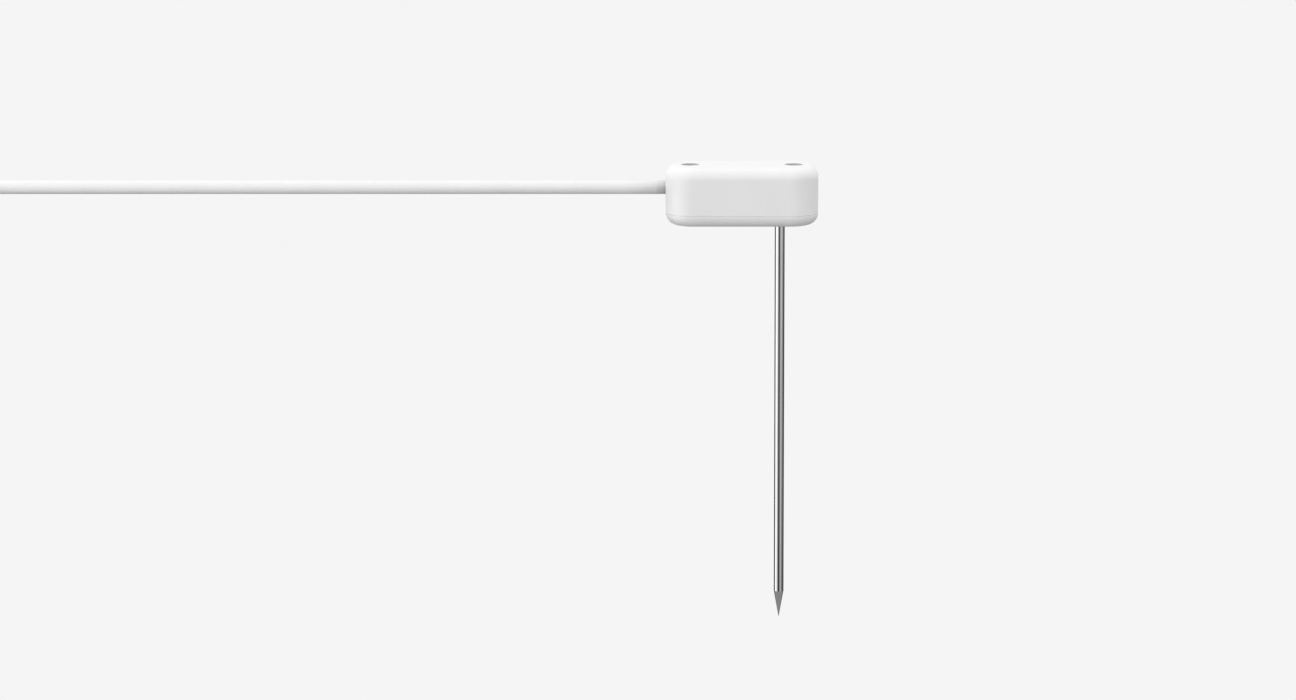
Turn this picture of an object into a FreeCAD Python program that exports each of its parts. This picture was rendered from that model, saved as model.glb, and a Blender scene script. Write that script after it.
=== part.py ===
import FreeCAD, Part
import math
import os
import re

import Sketcher
from FreeCAD import Placement, Rotation, Vector

# Soil thermometer probe: a small moulded head that stands on the soil, a hollow steel needle
# below it with the sensor bead in its point, and a lead that runs off to a screw-lock plug.
# Millimetres, +Z up. The origin is on the needle's axis at the head's underside, and the lead
# leaves the head along -X.

doc = FreeCAD.newDocument("soil_thermometer_probe")
sheet = doc.addObject("Spreadsheet::Sheet", "Sizes")

SIZES = {
    # head shell
    "head_length": 50.7,
    "head_depth": 25.0,
    "head_height": 19.6,
    "corner_radius": 9.5,
    "top_edge_radius": 3.8,
    "inner_edge_radius": 1.1,
    "bottom_edge_radius": 3.8,
    "wall": 2.0,
    "roof": 2.2,
    "floor_thickness": 2.4,
    "base_height": 3.9,
    "seam_gap": 0.05,
    "lip_height": 1.5,
    "lip_thickness": 1.2,
    "fit_gap": 0.1,
    "gasket_width": 0.8,
    "gasket_depth": 0.6,
    # screws that hold the head together
    "screw_inset": 8.1,
    "counterbore_diameter": 6.1,
    "counterbore_wall": 1.2,
    "rim_radius": 0.2,
    "screw_sink": 0.6,
    "screw_head_diameter": 4.0,
    "screw_head_height": 1.6,
    "screw_diameter": 2.0,
    "recess_width": 0.6,
    "recess_span": 2.4,
    "recess_depth": 0.9,
    "washer_thickness": 0.5,
    "insert_diameter": 3.0,
    "insert_length": 4.0,
    "boss_wall": 0.9,
    "boss_height": 5.0,
    "column_diameter": 4.4,
    "thread_gap": 0.02,
    # needle
    "needle_inset": 12.7,
    "needle_diameter": 3.4,
    "needle_length": 137.5,
    "needle_wall": 0.6,
    "tip_length": 9.2,
    "tip_flat": 0.2,
    "tip_plug_length": 3.0,
    "spigot_diameter": 2.8,
    "shoulder_sink": 0.1,
    "ring_section": 0.8,
    "gland_washer_thickness": 0.4,
    "collar_diameter": 4.0,
    "collar_height": 2.0,
    "spigot_stand": 0.8,
    "bead_diameter": 1.5,
    "bead_length": 2.2,
    "bead_height": 6.0,
    "filler_length": 14.0,
    "lead_diameter": 0.4,
    "lead_spacing": 0.7,
    "lead_bend": 1.0,
    "sleeve_diameter": 2.0,
    "sleeve_wall": 0.2,
    # circuit board
    "board_column_gap": 1.0,
    "board_needle_gap": 3.6,
    "board_width": 17.0,
    "board_thickness": 1.6,
    "board_corner": 1.0,
    "post_height": 3.6,
    "post_diameter": 4.0,
    "post_inset": 2.6,
    "board_screw_diameter": 1.6,
    "board_screw_head": 3.4,
    "board_screw_head_height": 1.3,
    "board_screw_length": 4.5,
    "terminal_length": 4.5,
    "terminal_height": 4.5,
    "terminal_pitch": 2.5,
    "terminal_inset": 3.0,
    "terminal_margin": 0.5,
    "chip_length": 4.0,
    "chip_width": 4.0,
    "chip_height": 1.5,
    "passive_length": 2.0,
    "passive_width": 1.25,
    "passive_height": 0.7,
    "passive_pitch": 2.8,
    "passive_row": 4.6,
    # lead and its entry
    "cable_diameter": 4.6,
    "cable_drop": 7.7,
    "grommet_flange": 8.4,
    "grommet_flange_thickness": 1.2,
    "grommet_sleeve": 6.4,
    "grommet_length": 2.4,
    "land_thickness": 0.4,
    "land_margin": 0.4,
    "fork_thickness": 1.0,
    "fork_width": 10.0,
    "core_diameter": 1.1,
    "core_lane": 1.2,
    "core_rise": 0.7,
    "core_bend": 0.6,
    # put-away hank of the lead, and the soil that it lies on
    "soil_gap": 0.2,
    "hank_run": 95.4,
    "hank_bend_radius": 14.4,
    "hank_distance": 289.6,
    "lap_distance": 335.0,
    "tie_distance": 350.0,
    "tie_width": 7.0,
    "tie_thickness": 0.5,
    "tie_corner": 0.2,
    # plug
    "plug_distance": 345.0,
    "relief_length": 12.0,
    "relief_small_diameter": 6.4,
    "rib_gap": 0.9,
    "rib_depth": 0.6,
    "edge_break": 0.4,
    "plug_diameter": 9.4,
    "plug_body_length": 14.0,
    "neck_diameter": 6.5,
    "neck_length": 10.0,
    "ring_diameter": 10.0,
    "ring_grip_length": 6.8,
    "thread_diameter": 8.0,
    "thread_length": 8.0,
    "ring_clearance": 0.1,
    "ring_groove_depth": 0.25,
    "clip_inset": 2.0,
    "clip_groove_width": 0.6,
    "clip_groove_depth": 0.35,
    "flute_diameter": 1.0,
    "flute_depth": 0.35,
    "insert_front": 2.0,
    "socket_depth": 5.0,
    "plug_bore": 5.2,
    "pin_diameter": 1.0,
    "pin_length": 7.0,
    "pin_stand": 2.5,
    "pin_circle": 2.4,
    "face_ring_section": 0.6,
}
for row, (size_name, size) in enumerate(SIZES.items(), start=1):
    sheet.set(f"A{row}", size_name)
    sheet.set(f"B{row}", str(size))
    sheet.setAlias(f"B{row}", size_name)
doc.recompute()

NODES = []


def sized(text):
    """An expression in plain size names, as the document's objects read it."""
    return re.sub(r"[a-z_]+", lambda m: "Sizes." + m[0] if m[0] in SIZES else m[0], str(text))


def value(text):
    """What an expression in size names comes to, in millimetres."""
    return float(sheet.evalExpression(sized(text)))


def bind(item, **sizes):
    """Tie properties of an object to the sheet; __ stands for the dot in a property's path."""
    for prop, text in sizes.items():
        item.setExpression(prop.replace("__", "."), sized(text))


def seat(item, x=0, y=0, z=0, rotation=None):
    """Place an object, with its position tied to the sheet."""
    item.Placement = Placement(Vector(), rotation or Rotation())
    bind(item, Placement__Base__x=x, Placement__Base__y=y, Placement__Base__z=z)


def node(item, label):
    """Keep an object as one named piece of the probe."""
    item.Label = label
    NODES.append(item)
    return item


# ---- sketches and solid features


def new_body(name):
    return doc.addObject("PartDesign::Body", name)


def new_sketch(body, name, plane="XY_Plane", offset=0):
    sketch = body.newObject("Sketcher::SketchObject", name)
    origin_plane = [o for o in body.Origin.OriginFeatures if o.Role == plane][0]
    sketch.AttachmentSupport = [(origin_plane, "")]
    sketch.MapMode = "FlatFace"
    bind(sketch, AttachmentOffset__Base__z=offset)
    return sketch


def dimension(sketch, kind, *where, text):
    """Add one driving dimension to a sketch and tie it to the sheet."""
    sketch.addConstraint(Sketcher.Constraint(kind, *where, value(text)))
    name = f"d{sketch.ConstraintCount}"
    sketch.renameConstraint(sketch.ConstraintCount - 1, name)
    sketch.setExpression(f"Constraints.{name}", sized(text))


def polygon(sketch, points):
    """A closed outline of straight sides, each corner placed by its own two dimensions."""
    corners = [Vector(value(x), value(y), 0) for x, y in points]
    sides = []
    for start, end in zip(corners, corners[1:] + corners[:1]):
        sides.append(sketch.addGeometry(Part.LineSegment(start, end)))
    for i, side in enumerate(sides):
        sketch.addConstraint(
            Sketcher.Constraint("Coincident", side, 2, sides[(i + 1) % len(sides)], 1)
        )
        dimension(sketch, "DistanceX", -1, 1, side, 1, text=points[i][0])
        dimension(sketch, "DistanceY", -1, 1, side, 1, text=points[i][1])


def circle(sketch, diameter, x=0, y=0):
    """A circle, placed by its diameter and centre."""
    ring = sketch.addGeometry(
        Part.Circle(Vector(value(x), value(y), 0), Vector(0, 0, 1), value(diameter) / 2)
    )
    dimension(sketch, "Diameter", ring, text=diameter)
    dimension(sketch, "DistanceX", -1, 1, ring, 3, text=x)
    dimension(sketch, "DistanceY", -1, 1, ring, 3, text=y)


def rounded_rectangle(sketch, length, width, radius, x=0, y=0):
    """A rectangle with rounded corners, centred on (x, y)."""
    r, half_x, half_y = value(radius), value(length) / 2, value(width) / 2
    mid = Vector(value(x), value(y), 0)
    across, up = Vector(half_x - r, 0, 0), Vector(0, half_y - r, 0)
    arcs = []
    for quarter, centre in enumerate((across + up, up - across, -across - up, across - up)):
        turn = quarter * math.pi / 2
        corner = Part.Circle(mid + centre, Vector(0, 0, 1), r)
        arcs.append(sketch.addGeometry(Part.ArcOfCircle(corner, turn, turn + math.pi / 2)))
    sides = []
    for quarter in range(4):
        start = sketch.getPoint(arcs[quarter], 2)
        end = sketch.getPoint(arcs[(quarter + 1) % 4], 1)
        sides.append(sketch.addGeometry(Part.LineSegment(start, end)))
    for quarter in range(4):
        after = arcs[(quarter + 1) % 4]
        sketch.addConstraint(
            Sketcher.Constraint("Tangent", arcs[quarter], 2, sides[quarter], 1)
        )
        sketch.addConstraint(Sketcher.Constraint("Tangent", sides[quarter], 2, after, 1))
        if quarter:
            sketch.addConstraint(Sketcher.Constraint("Equal", arcs[0], arcs[quarter]))
    sketch.addConstraint(Sketcher.Constraint("Horizontal", sides[0]))
    sketch.addConstraint(Sketcher.Constraint("Vertical", sides[1]))
    dimension(sketch, "Radius", arcs[0], text=radius)
    dimension(sketch, "DistanceX", -1, 1, arcs[0], 3, text=f"{x} + {length} / 2 - {radius}")
    dimension(sketch, "DistanceY", -1, 1, arcs[0], 3, text=f"{y} + {width} / 2 - {radius}")
    dimension(sketch, "DistanceX", arcs[2], 3, arcs[0], 3, text=f"{length} - 2 * {radius}")
    dimension(sketch, "DistanceY", arcs[2], 3, arcs[0], 3, text=f"{width} - 2 * {radius}")


def pad(body, sketch, length, midplane=False):
    feature = body.newObject("PartDesign::Pad", sketch.Name + "_pad")
    feature.Profile = sketch
    feature.Midplane = midplane
    bind(feature, Length=length)
    doc.recompute()
    return feature


def pocket(body, sketch, depth, towards_normal=False):
    """Cut a sketch into the body, and make sure that it took something away."""
    before = body.Shape.Volume
    feature = body.newObject("PartDesign::Pocket", sketch.Name + "_pocket")
    feature.Profile = sketch
    feature.Reversed = towards_normal
    bind(feature, Length=depth)
    doc.recompute()
    if body.Shape.Volume > before - 1e-3:
        raise RuntimeError(f"{feature.Name} cuts nothing")
    return feature


def revolve(body, sketch, axis):
    feature = body.newObject("PartDesign::Revolution", sketch.Name + "_turned")
    feature.Profile = sketch
    feature.ReferenceAxis = (sketch, [axis])
    feature.Angle = 360
    doc.recompute()
    return feature


def fillet(body, radius, chosen):
    """Round the edges of the body's last feature for which chosen(edge) holds."""
    last = body.Tip
    names = [f"Edge{i}" for i, e in enumerate(last.Shape.Edges, start=1) if chosen(e)]
    feature = body.newObject("PartDesign::Fillet", f"{last.Name}_fillet")
    feature.Base = (last, names)
    bind(feature, Radius=radius)
    doc.recompute()
    return feature


def at_height(text):
    """Chooses edges that lie whole in the level plane z = text."""
    level = value(text)

    def chosen(edge):
        box = edge.BoundBox
        return abs(box.ZMin - level) < 1e-4 and abs(box.ZMax - level) < 1e-4

    return chosen


def turned(name, points, along="z"):
    """A piece turned on a lathe: a half section, given as (radius, height) along Z or
    (position, radius) along X, and spun round that axis."""
    body = new_body(name)
    sketch = new_sketch(body, name + "_section", "XZ_Plane")
    polygon(sketch, points)
    revolve(body, sketch, "V_Axis" if along == "z" else "H_Axis")
    return body


# ---- primitives and booleans


def cylinder(name, diameter, height, x=0, y=0, z=0, rotation=None):
    item = doc.addObject("Part::Cylinder", name)
    bind(item, Radius=f"({diameter}) / 2", Height=height)
    seat(item, x, y, z, rotation)
    return item


def box(name, length, width, height, x=0, y=0, z=0):
    """A block centred on (x, y), standing on z."""
    item = doc.addObject("Part::Box", name)
    bind(item, Length=length, Width=width, Height=height)
    seat(item, f"({x}) - ({length}) / 2", f"({y}) - ({width}) / 2", z)
    return item


def joined(kind, name, items):
    """Several objects as one: kind is MultiFuse or Compound."""
    item = doc.addObject(f"Part::{kind}", name)
    if kind == "Compound":
        item.Links = items
    else:
        item.Shapes = items
    return item


def cut(name, base, tool):
    item = doc.addObject("Part::Cut", name)
    item.Base = base
    item.Tool = tool
    return item


def run_path(points, radius=None):
    """Straight runs joined by tangent arcs, and the arcs' radii. Without a stated radius,
    each arc is as large as its two runs allow."""
    corners = [Vector(*p) for p in points]
    edges, radii, last = [], [], corners[0]
    for before, corner, after in zip(corners, corners[1:], corners[2:]):
        arriving, leaving = corner - before, after - corner
        turn = arriving.getAngle(leaving)
        shorter = min(arriving.Length, leaving.Length)
        bend = radius or 0.45 * shorter / math.tan(turn / 2)
        reach = bend * math.tan(turn / 2)
        inwards, outwards = arriving.normalize(), leaving.normalize()
        start, end = corner - inwards * reach, corner + outwards * reach
        to_centre = (outwards - inwards).normalize()
        middle = corner + to_centre * (bend / math.cos(turn / 2) - bend)
        edges += [Part.LineSegment(last, start).toShape(), Part.Arc(start, middle, end).toShape()]
        radii.append(bend)
        last = end
    edges.append(Part.LineSegment(last, corners[-1]).toShape())
    return Part.Wire(edges), radii


def swept(path, diameter):
    """A round section carried along a path, checked against section times length."""
    start, end = path.Edges[0].firstVertex().Point, path.Edges[0].lastVertex().Point
    section = Part.Wire(Part.Circle(start, end - start, diameter / 2).toShape())
    solid = path.makePipeShell([section], True, False)
    expected = math.pi * diameter**2 / 4 * path.Length
    if abs(solid.Volume / expected - 1) > 0.002:
        raise RuntimeError(f"a swept piece has {solid.Volume:.1f} mm3, not {expected:.1f}")
    return solid


def tube(label, points, diameter):
    """One free stretch of the lead."""
    path, radii = run_path(points)
    print(label, f"{path.Length:.1f} mm long, radii", [round(r, 1) for r in radii])
    item = node(doc.addObject("Part::Feature", label), label)
    item.Shape = swept(path, diameter)
    return item


def wires(name, routes, diameter, radius):
    """A bunch of thin wires as one object, each along its own route."""
    item = doc.addObject("Part::Feature", name)
    item.Shape = Part.makeCompound([swept(run_path(r, radius)[0], diameter) for r in routes])
    return item


# ---- places that several pieces share

HEAD_X = "(needle_inset - head_length / 2)"
LEFT_FACE = "(needle_inset - head_length)"
NEEDLE_X = "(head_length / 2 - needle_inset)"
ROOF_Z = "(head_height - roof)"
SHELL_Z = "(base_height + seam_gap)"
HEAD_UNDER_Z = "(head_height - screw_sink - screw_head_height)"
SEAT_Z = f"({HEAD_UNDER_Z} - washer_thickness)"
BOSS_TOP = "(floor_thickness + boss_height)"
SCREW_LENGTH = f"({HEAD_UNDER_Z} - {BOSS_TOP} + insert_length - 2 * fit_gap)"
SCREW_X = "(head_length / 2 - screw_inset)"
COLUMN_Z = f"({BOSS_TOP} + fit_gap)"
SCREW_HOLE = "(screw_diameter + 2 * fit_gap)"
INNER_LENGTH = "(head_length - 2 * wall)"
INNER_DEPTH = "(head_depth - 2 * wall)"
INNER_RADIUS = "(corner_radius - wall)"
LIP_IN = "(wall + fit_gap)"
POCKET_IN = f"({LIP_IN} + lip_thickness)"
BOARD_Z = "(floor_thickness + post_height)"
BOARD_TOP = f"({BOARD_Z} + board_thickness)"
BOARD_LEFT = f"(column_diameter / 2 + board_column_gap - {SCREW_X})"
BOARD_RIGHT = f"({NEEDLE_X} - board_needle_gap)"
BOARD_LENGTH = f"({BOARD_RIGHT} - {BOARD_LEFT})"
BOARD_MID = f"(({BOARD_LEFT} + {BOARD_RIGHT}) / 2)"
BOARD_X = f"({HEAD_X} + {BOARD_MID})"
CONE_Z = "(tip_length - needle_length)"
NEEDLE_BORE = "(needle_diameter - 2 * needle_wall)"
RING_SEAT_Z = "(floor_thickness - ring_section)"
GLAND_Z = "floor_thickness"
COLLAR_Z = "(floor_thickness + gland_washer_thickness)"
SPIGOT_TOP = f"({COLLAR_Z} + collar_height + spigot_stand)"
GROMMET_X = "(wall + land_thickness - head_length / 2)"
CABLE_HOLE = "(cable_diameter + fit_gap)"
SOIL_Z = "(0 - soil_gap)"
CABLE_Z = "(head_height - cable_drop)"
SIDES = (("left", f"(0 - {SCREW_X})"), ("right", SCREW_X))

# ---- the head's two mouldings

# The upper housing is a cup, mouth down. Two columns hang from its roof and carry the
# sunk screw heads, and the lead comes in through a hole in its left end.
housing = new_body("upper_housing")
outline = new_sketch(housing, "housing_outline", offset=SHELL_Z)
rounded_rectangle(outline, "head_length", "head_depth", "corner_radius")
pad(housing, outline, f"head_height - {SHELL_Z}")
fillet(housing, "top_edge_radius", at_height("head_height"))
cavity = new_sketch(housing, "housing_cavity", offset=SHELL_Z)
rounded_rectangle(cavity, INNER_LENGTH, INNER_DEPTH, INNER_RADIUS)
pocket(housing, cavity, f"{ROOF_Z} - {SHELL_Z}", towards_normal=True)
fillet(housing, "inner_edge_radius", at_height(ROOF_Z))
columns = new_sketch(housing, "columns", offset=COLUMN_Z)
seats = new_sketch(housing, "screw_seats", offset=f"{SEAT_Z} - counterbore_wall")
counterbores = new_sketch(housing, "counterbores", offset="head_height")
screw_holes = new_sketch(housing, "screw_holes", offset=SEAT_Z)
for _, x in SIDES:
    circle(columns, "column_diameter", x)
    circle(seats, "counterbore_diameter + 2 * counterbore_wall", x)
    circle(counterbores, "counterbore_diameter", x)
    circle(screw_holes, SCREW_HOLE, x)
pad(housing, columns, f"{ROOF_Z} + roof / 2 - {COLUMN_Z}")
pad(housing, seats, f"{ROOF_Z} + roof / 2 - ({SEAT_Z} - counterbore_wall)")
pocket(housing, counterbores, f"head_height - {SEAT_Z}")
pocket(housing, screw_holes, f"{SEAT_Z} - {COLUMN_Z}")
rim = at_height("head_height")
fillet(housing, "rim_radius", lambda edge: rim(edge) and edge.BoundBox.XLength < value("head_depth / 2"))
land = new_sketch(housing, "grommet_land", "YZ_Plane", "wall / 2 - head_length / 2")
circle(land, "grommet_flange + 2 * land_margin", 0, CABLE_Z)
pad(housing, land, "wall / 2 + land_thickness")
entry = new_sketch(housing, "cable_entry", "YZ_Plane", "0 - head_length / 2 - wall")
circle(entry, CABLE_HOLE, 0, CABLE_Z)
pocket(housing, entry, "3 * wall", towards_normal=True)
seat(housing, HEAD_X)
node(housing, "upper_housing")

# The base tray closes the cup from below. Its lip stands inside the cup's walls, and it
# carries the needle, the threaded inserts, the circuit board and the fork behind the grommet.
tray = new_body("base_tray")
outline = new_sketch(tray, "tray_outline")
rounded_rectangle(outline, "head_length", "head_depth", "corner_radius")
pad(tray, outline, "base_height")
fillet(tray, "bottom_edge_radius", at_height(0))
lip = new_sketch(tray, "tray_lip", offset="base_height / 2")
rounded_rectangle(
    lip,
    f"(head_length - 2 * {LIP_IN})",
    f"(head_depth - 2 * {LIP_IN})",
    f"(corner_radius - {LIP_IN})",
)
pad(tray, lip, "base_height / 2 + lip_height")
hollow = new_sketch(tray, "tray_hollow", offset="base_height + lip_height")
rounded_rectangle(
    hollow,
    f"(head_length - 2 * {POCKET_IN})",
    f"(head_depth - 2 * {POCKET_IN})",
    f"(corner_radius - {POCKET_IN})",
)
pocket(tray, hollow, "base_height + lip_height - floor_thickness")
groove = new_sketch(tray, "gasket_groove", offset="base_height")
GASKET_OUT = "((wall - gasket_width) / 2)"
for inset in (GASKET_OUT, f"({GASKET_OUT} + gasket_width)"):
    rounded_rectangle(
        groove,
        f"(head_length - 2 * {inset})",
        f"(head_depth - 2 * {inset})",
        f"(corner_radius - {inset})",
    )
pocket(tray, groove, "gasket_depth")
bosses = new_sketch(tray, "insert_bosses", offset="floor_thickness / 2")
insert_holes = new_sketch(tray, "insert_holes", offset=BOSS_TOP)
for _, x in SIDES:
    circle(bosses, "insert_diameter + 2 * boss_wall", x)
    circle(insert_holes, "insert_diameter", x)
pad(tray, bosses, f"{BOSS_TOP} - floor_thickness / 2")
pocket(tray, insert_holes, "insert_length")
POST_X = f"({BOARD_LENGTH} / 2 - post_inset)"
POST_Y = "(board_width / 2 - post_inset)"
POSTS = []
for sign_x in (-1, 1):
    for sign_y in (-1, 1):
        x, y = f"({sign_x} * {POST_X})", f"({sign_y} * {POST_Y})"
        POSTS.append((x, y, sign_x == -sign_y))
posts = new_sketch(tray, "board_posts", offset="floor_thickness / 2")
pegs = new_sketch(tray, "board_pegs", offset=f"{BOARD_Z} - post_height / 2")
pilots = new_sketch(tray, "pilot_holes", offset=BOARD_Z)
for x, y, screwed in POSTS:
    circle(posts, "post_diameter", f"{BOARD_MID} + {x}", y)
    circle(pilots if screwed else pegs, "board_screw_diameter", f"{BOARD_MID} + {x}", y)
pad(tray, posts, f"{BOARD_Z} - floor_thickness / 2")
pad(tray, pegs, "post_height / 2 + board_thickness")
pocket(tray, pilots, "post_height")
fork = new_sketch(
    tray, "cable_fork", "YZ_Plane", f"{GROMMET_X} + grommet_flange_thickness + fit_gap"
)
FORK_SLOT = "(grommet_sleeve / 2 + fit_gap)"
polygon(
    fork,
    [
        ("0 - fork_width / 2", "floor_thickness / 2"),
        ("fork_width / 2", "floor_thickness / 2"),
        ("fork_width / 2", CABLE_Z),
        (FORK_SLOT, CABLE_Z),
        (FORK_SLOT, f"{CABLE_Z} - {FORK_SLOT}"),
        (f"0 - {FORK_SLOT}", f"{CABLE_Z} - {FORK_SLOT}"),
        (f"0 - {FORK_SLOT}", CABLE_Z),
        ("0 - fork_width / 2", CABLE_Z),
    ],
)
pad(tray, fork, "fork_thickness")
RING_SEAT = "(spigot_diameter + 2 * ring_section + fit_gap)"
ring_seat = new_sketch(tray, "o_ring_seat", offset="floor_thickness")
circle(ring_seat, RING_SEAT, NEEDLE_X)
pocket(tray, ring_seat, "ring_section")
needle_hole = new_sketch(tray, "needle_hole", offset="floor_thickness")
circle(needle_hole, "spigot_diameter + fit_gap", NEEDLE_X)
pocket(tray, needle_hole, "floor_thickness")
shoulder_seat = new_sketch(tray, "shoulder_seat", offset="shoulder_sink")
circle(shoulder_seat, "needle_diameter + 2 * fit_gap", NEEDLE_X)
pocket(tray, shoulder_seat, "shoulder_sink")
seat(tray, HEAD_X)
node(tray, "base_tray")

# A flat ring of soft rubber lies in the tray's groove and meets the housing's rim.
gasket = new_body("base_gasket")
ring = new_sketch(gasket, "gasket_ring", offset="base_height - gasket_depth")
for inset in (GASKET_OUT, f"({GASKET_OUT} + gasket_width)"):
    rounded_rectangle(
        ring,
        f"(head_length - 2 * {inset})",
        f"(head_depth - 2 * {inset})",
        f"(corner_radius - {inset})",
    )
pad(gasket, ring, "gasket_depth + seam_gap")
seat(gasket, HEAD_X)
node(gasket, "base_gasket")

# ---- screws, sealing washers and threaded inserts of the head


def cross(sketch, span, width):
    """The outline of a cross recess."""
    out, near = f"({span} / 2)", f"({width} / 2)"
    quarter = [(out, near), (near, near), (near, out)]
    corners = []
    for sign_x, sign_y in ((1, 1), (-1, 1), (-1, -1), (1, -1)):
        points = [(f"{sign_x} * {x}", f"{sign_y} * {y}") for x, y in quarter]
        corners += points if sign_x == sign_y else points[::-1]
    polygon(sketch, corners)


def pan_screw(name, head_diameter, head_height, diameter, length, recess):
    """A pan-head screw, with its head's underside at z = 0 and a cross recess on top."""
    screw = turned(
        name,
        [
            (0, f"0 - {length}"),
            (f"{diameter} / 2 - fit_gap", f"0 - {length}"),
            (f"{diameter} / 2", f"0 - {length} + fit_gap"),
            (f"{diameter} / 2", 0),
            (f"{head_diameter} / 2", 0),
            (f"{head_diameter} / 2", head_height),
            (0, head_height),
        ],
    )
    top = at_height(head_height)
    fillet(screw, f"{head_height} / 2", lambda edge: top(edge) and edge.BoundBox.XLength > 1)
    slots = new_sketch(screw, name + "_recess", offset=head_height)
    cross(slots, f"(recess_span * {recess})", f"(recess_width * {recess})")
    pocket(screw, slots, f"recess_depth * {recess}")
    return screw


screws, washers, inserts = [], [], []
for side, x in SIDES:
    screw = pan_screw(
        f"{side}_screw",
        "screw_head_diameter",
        "screw_head_height",
        "screw_diameter",
        SCREW_LENGTH,
        1,
    )
    seat(screw, f"{HEAD_X} + {x}", 0, HEAD_UNDER_Z)
    screws.append(screw)
    washer = turned(
        f"{side}_washer",
        [
            (f"{SCREW_HOLE} / 2", 0),
            ("counterbore_diameter / 2 - fit_gap", 0),
            ("counterbore_diameter / 2 - fit_gap", "washer_thickness"),
            (f"{SCREW_HOLE} / 2", "washer_thickness"),
        ],
    )
    seat(washer, f"{HEAD_X} + {x}", 0, SEAT_Z)
    washers.append(washer)
    insert = turned(
        f"{side}_insert",
        [
            ("screw_diameter / 2 + thread_gap", 0),
            ("insert_diameter / 2 - thread_gap", 0),
            ("insert_diameter / 2 - thread_gap", "insert_length"),
            ("screw_diameter / 2 + thread_gap", "insert_length"),
        ],
    )
    seat(insert, f"{HEAD_X} + {x}", 0, f"{BOSS_TOP} - insert_length")
    inserts.append(insert)
node(joined("Compound", "housing_screws", screws), "housing_screws")
node(joined("Compound", "screw_seal_washers", washers), "screw_seal_washers")
node(joined("Compound", "threaded_inserts", inserts), "threaded_inserts")

# ---- circuit board and what is on it

board = new_body("circuit_board")
blank = new_sketch(board, "board_outline")
rounded_rectangle(blank, BOARD_LENGTH, "board_width", "board_corner")
pad(board, blank, "board_thickness")
holes = new_sketch(board, "board_holes", offset="board_thickness")
for x, y, _ in POSTS:
    circle(holes, "board_screw_diameter + 2 * fit_gap", x, y)
pocket(board, holes, "board_thickness")
seat(board, BOARD_X, 0, BOARD_Z)
node(board, "circuit_board")

board_screws = []
for i, (x, y, screwed) in enumerate(POSTS):
    if screwed:
        screw = pan_screw(
            f"board_screw_{i}",
            "board_screw_head",
            "board_screw_head_height",
            "(board_screw_diameter - 2 * thread_gap)",
            "board_screw_length",
            0.8,
        )
        seat(screw, f"{BOARD_X} + {x}", y, BOARD_TOP)
        board_screws.append(screw)
node(joined("Compound", "board_screws", board_screws), "board_screws")

# Chip resistors and capacitors stand in two rows, each side of the signal chip.
passives = []
for row_sign in (-1, 1):
    for column in (-1, 0, 1):
        part = box(
            f"passive_{row_sign}_{column}".replace("-", "m"),
            "passive_length",
            "passive_width",
            "passive_height",
            f"{BOARD_X} + {column} * passive_pitch",
            f"{row_sign} * passive_row",
            BOARD_TOP,
        )
        passives.append(part)
node(joined("Compound", "board_passives", passives), "board_passives")

CABLE_TERMINAL_X = f"({HEAD_X} + {BOARD_LEFT} + terminal_inset + terminal_length / 2)"
SENSOR_TERMINAL_X = f"({HEAD_X} + {BOARD_RIGHT} - terminal_margin - terminal_length / 2)"
TERMINAL_Z = f"({BOARD_TOP} + terminal_height / 2)"
cable_terminal = box(
    "cable_terminal",
    "terminal_length",
    "3 * terminal_pitch",
    "terminal_height",
    CABLE_TERMINAL_X,
    0,
    BOARD_TOP,
)
node(cable_terminal, "cable_terminal")
sensor_terminal = box(
    "sensor_terminal",
    "terminal_length",
    "2 * terminal_pitch",
    "terminal_height",
    SENSOR_TERMINAL_X,
    0,
    BOARD_TOP,
)
node(sensor_terminal, "sensor_terminal")

chip = box(
    "signal_chip",
    "chip_length",
    "chip_width",
    "chip_height",
    f"({CABLE_TERMINAL_X} + {SENSOR_TERMINAL_X}) / 2",
    0,
    BOARD_TOP,
)
node(chip, "signal_chip")

# ---- needle

# The tube is drawn down above the head's underside, so its shoulder takes the push.
needle_tube = turned(
    "needle_tube",
    [
        (f"{NEEDLE_BORE} / 2", CONE_Z),
        ("needle_diameter / 2", CONE_Z),
        ("needle_diameter / 2", "shoulder_sink"),
        ("spigot_diameter / 2", "shoulder_sink"),
        ("spigot_diameter / 2", SPIGOT_TOP),
        (f"{NEEDLE_BORE} / 2", SPIGOT_TOP),
    ],
)
node(needle_tube, "needle_tube")

# The point is a solid cone, welded to the tube's end, with a plug that locates it.
needle_tip = turned(
    "needle_tip",
    [
        (0, "0 - needle_length"),
        ("tip_flat / 2", "0 - needle_length"),
        ("needle_diameter / 2", CONE_Z),
        (f"{NEEDLE_BORE} / 2 - thread_gap", CONE_Z),
        (f"{NEEDLE_BORE} / 2 - thread_gap", f"{CONE_Z} + tip_plug_length"),
        (0, f"{CONE_Z} + tip_plug_length"),
    ],
)
node(needle_tip, "needle_tip")

o_ring = doc.addObject("Part::Torus", "needle_o_ring")
bind(
    o_ring,
    Radius1="(spigot_diameter + ring_section + fit_gap / 2) / 2",
    Radius2="ring_section / 2 - thread_gap",
)
seat(o_ring, 0, 0, f"{RING_SEAT_Z} + ring_section / 2")
node(o_ring, "needle_o_ring")

gland_washer = turned(
    "gland_washer",
    [
        ("spigot_diameter / 2 + thread_gap", 0),
        ("collar_diameter / 2 + fit_gap", 0),
        ("collar_diameter / 2 + fit_gap", "gland_washer_thickness"),
        ("spigot_diameter / 2 + thread_gap", "gland_washer_thickness"),
    ],
)
seat(gland_washer, 0, 0, GLAND_Z)
node(gland_washer, "gland_washer")

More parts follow.
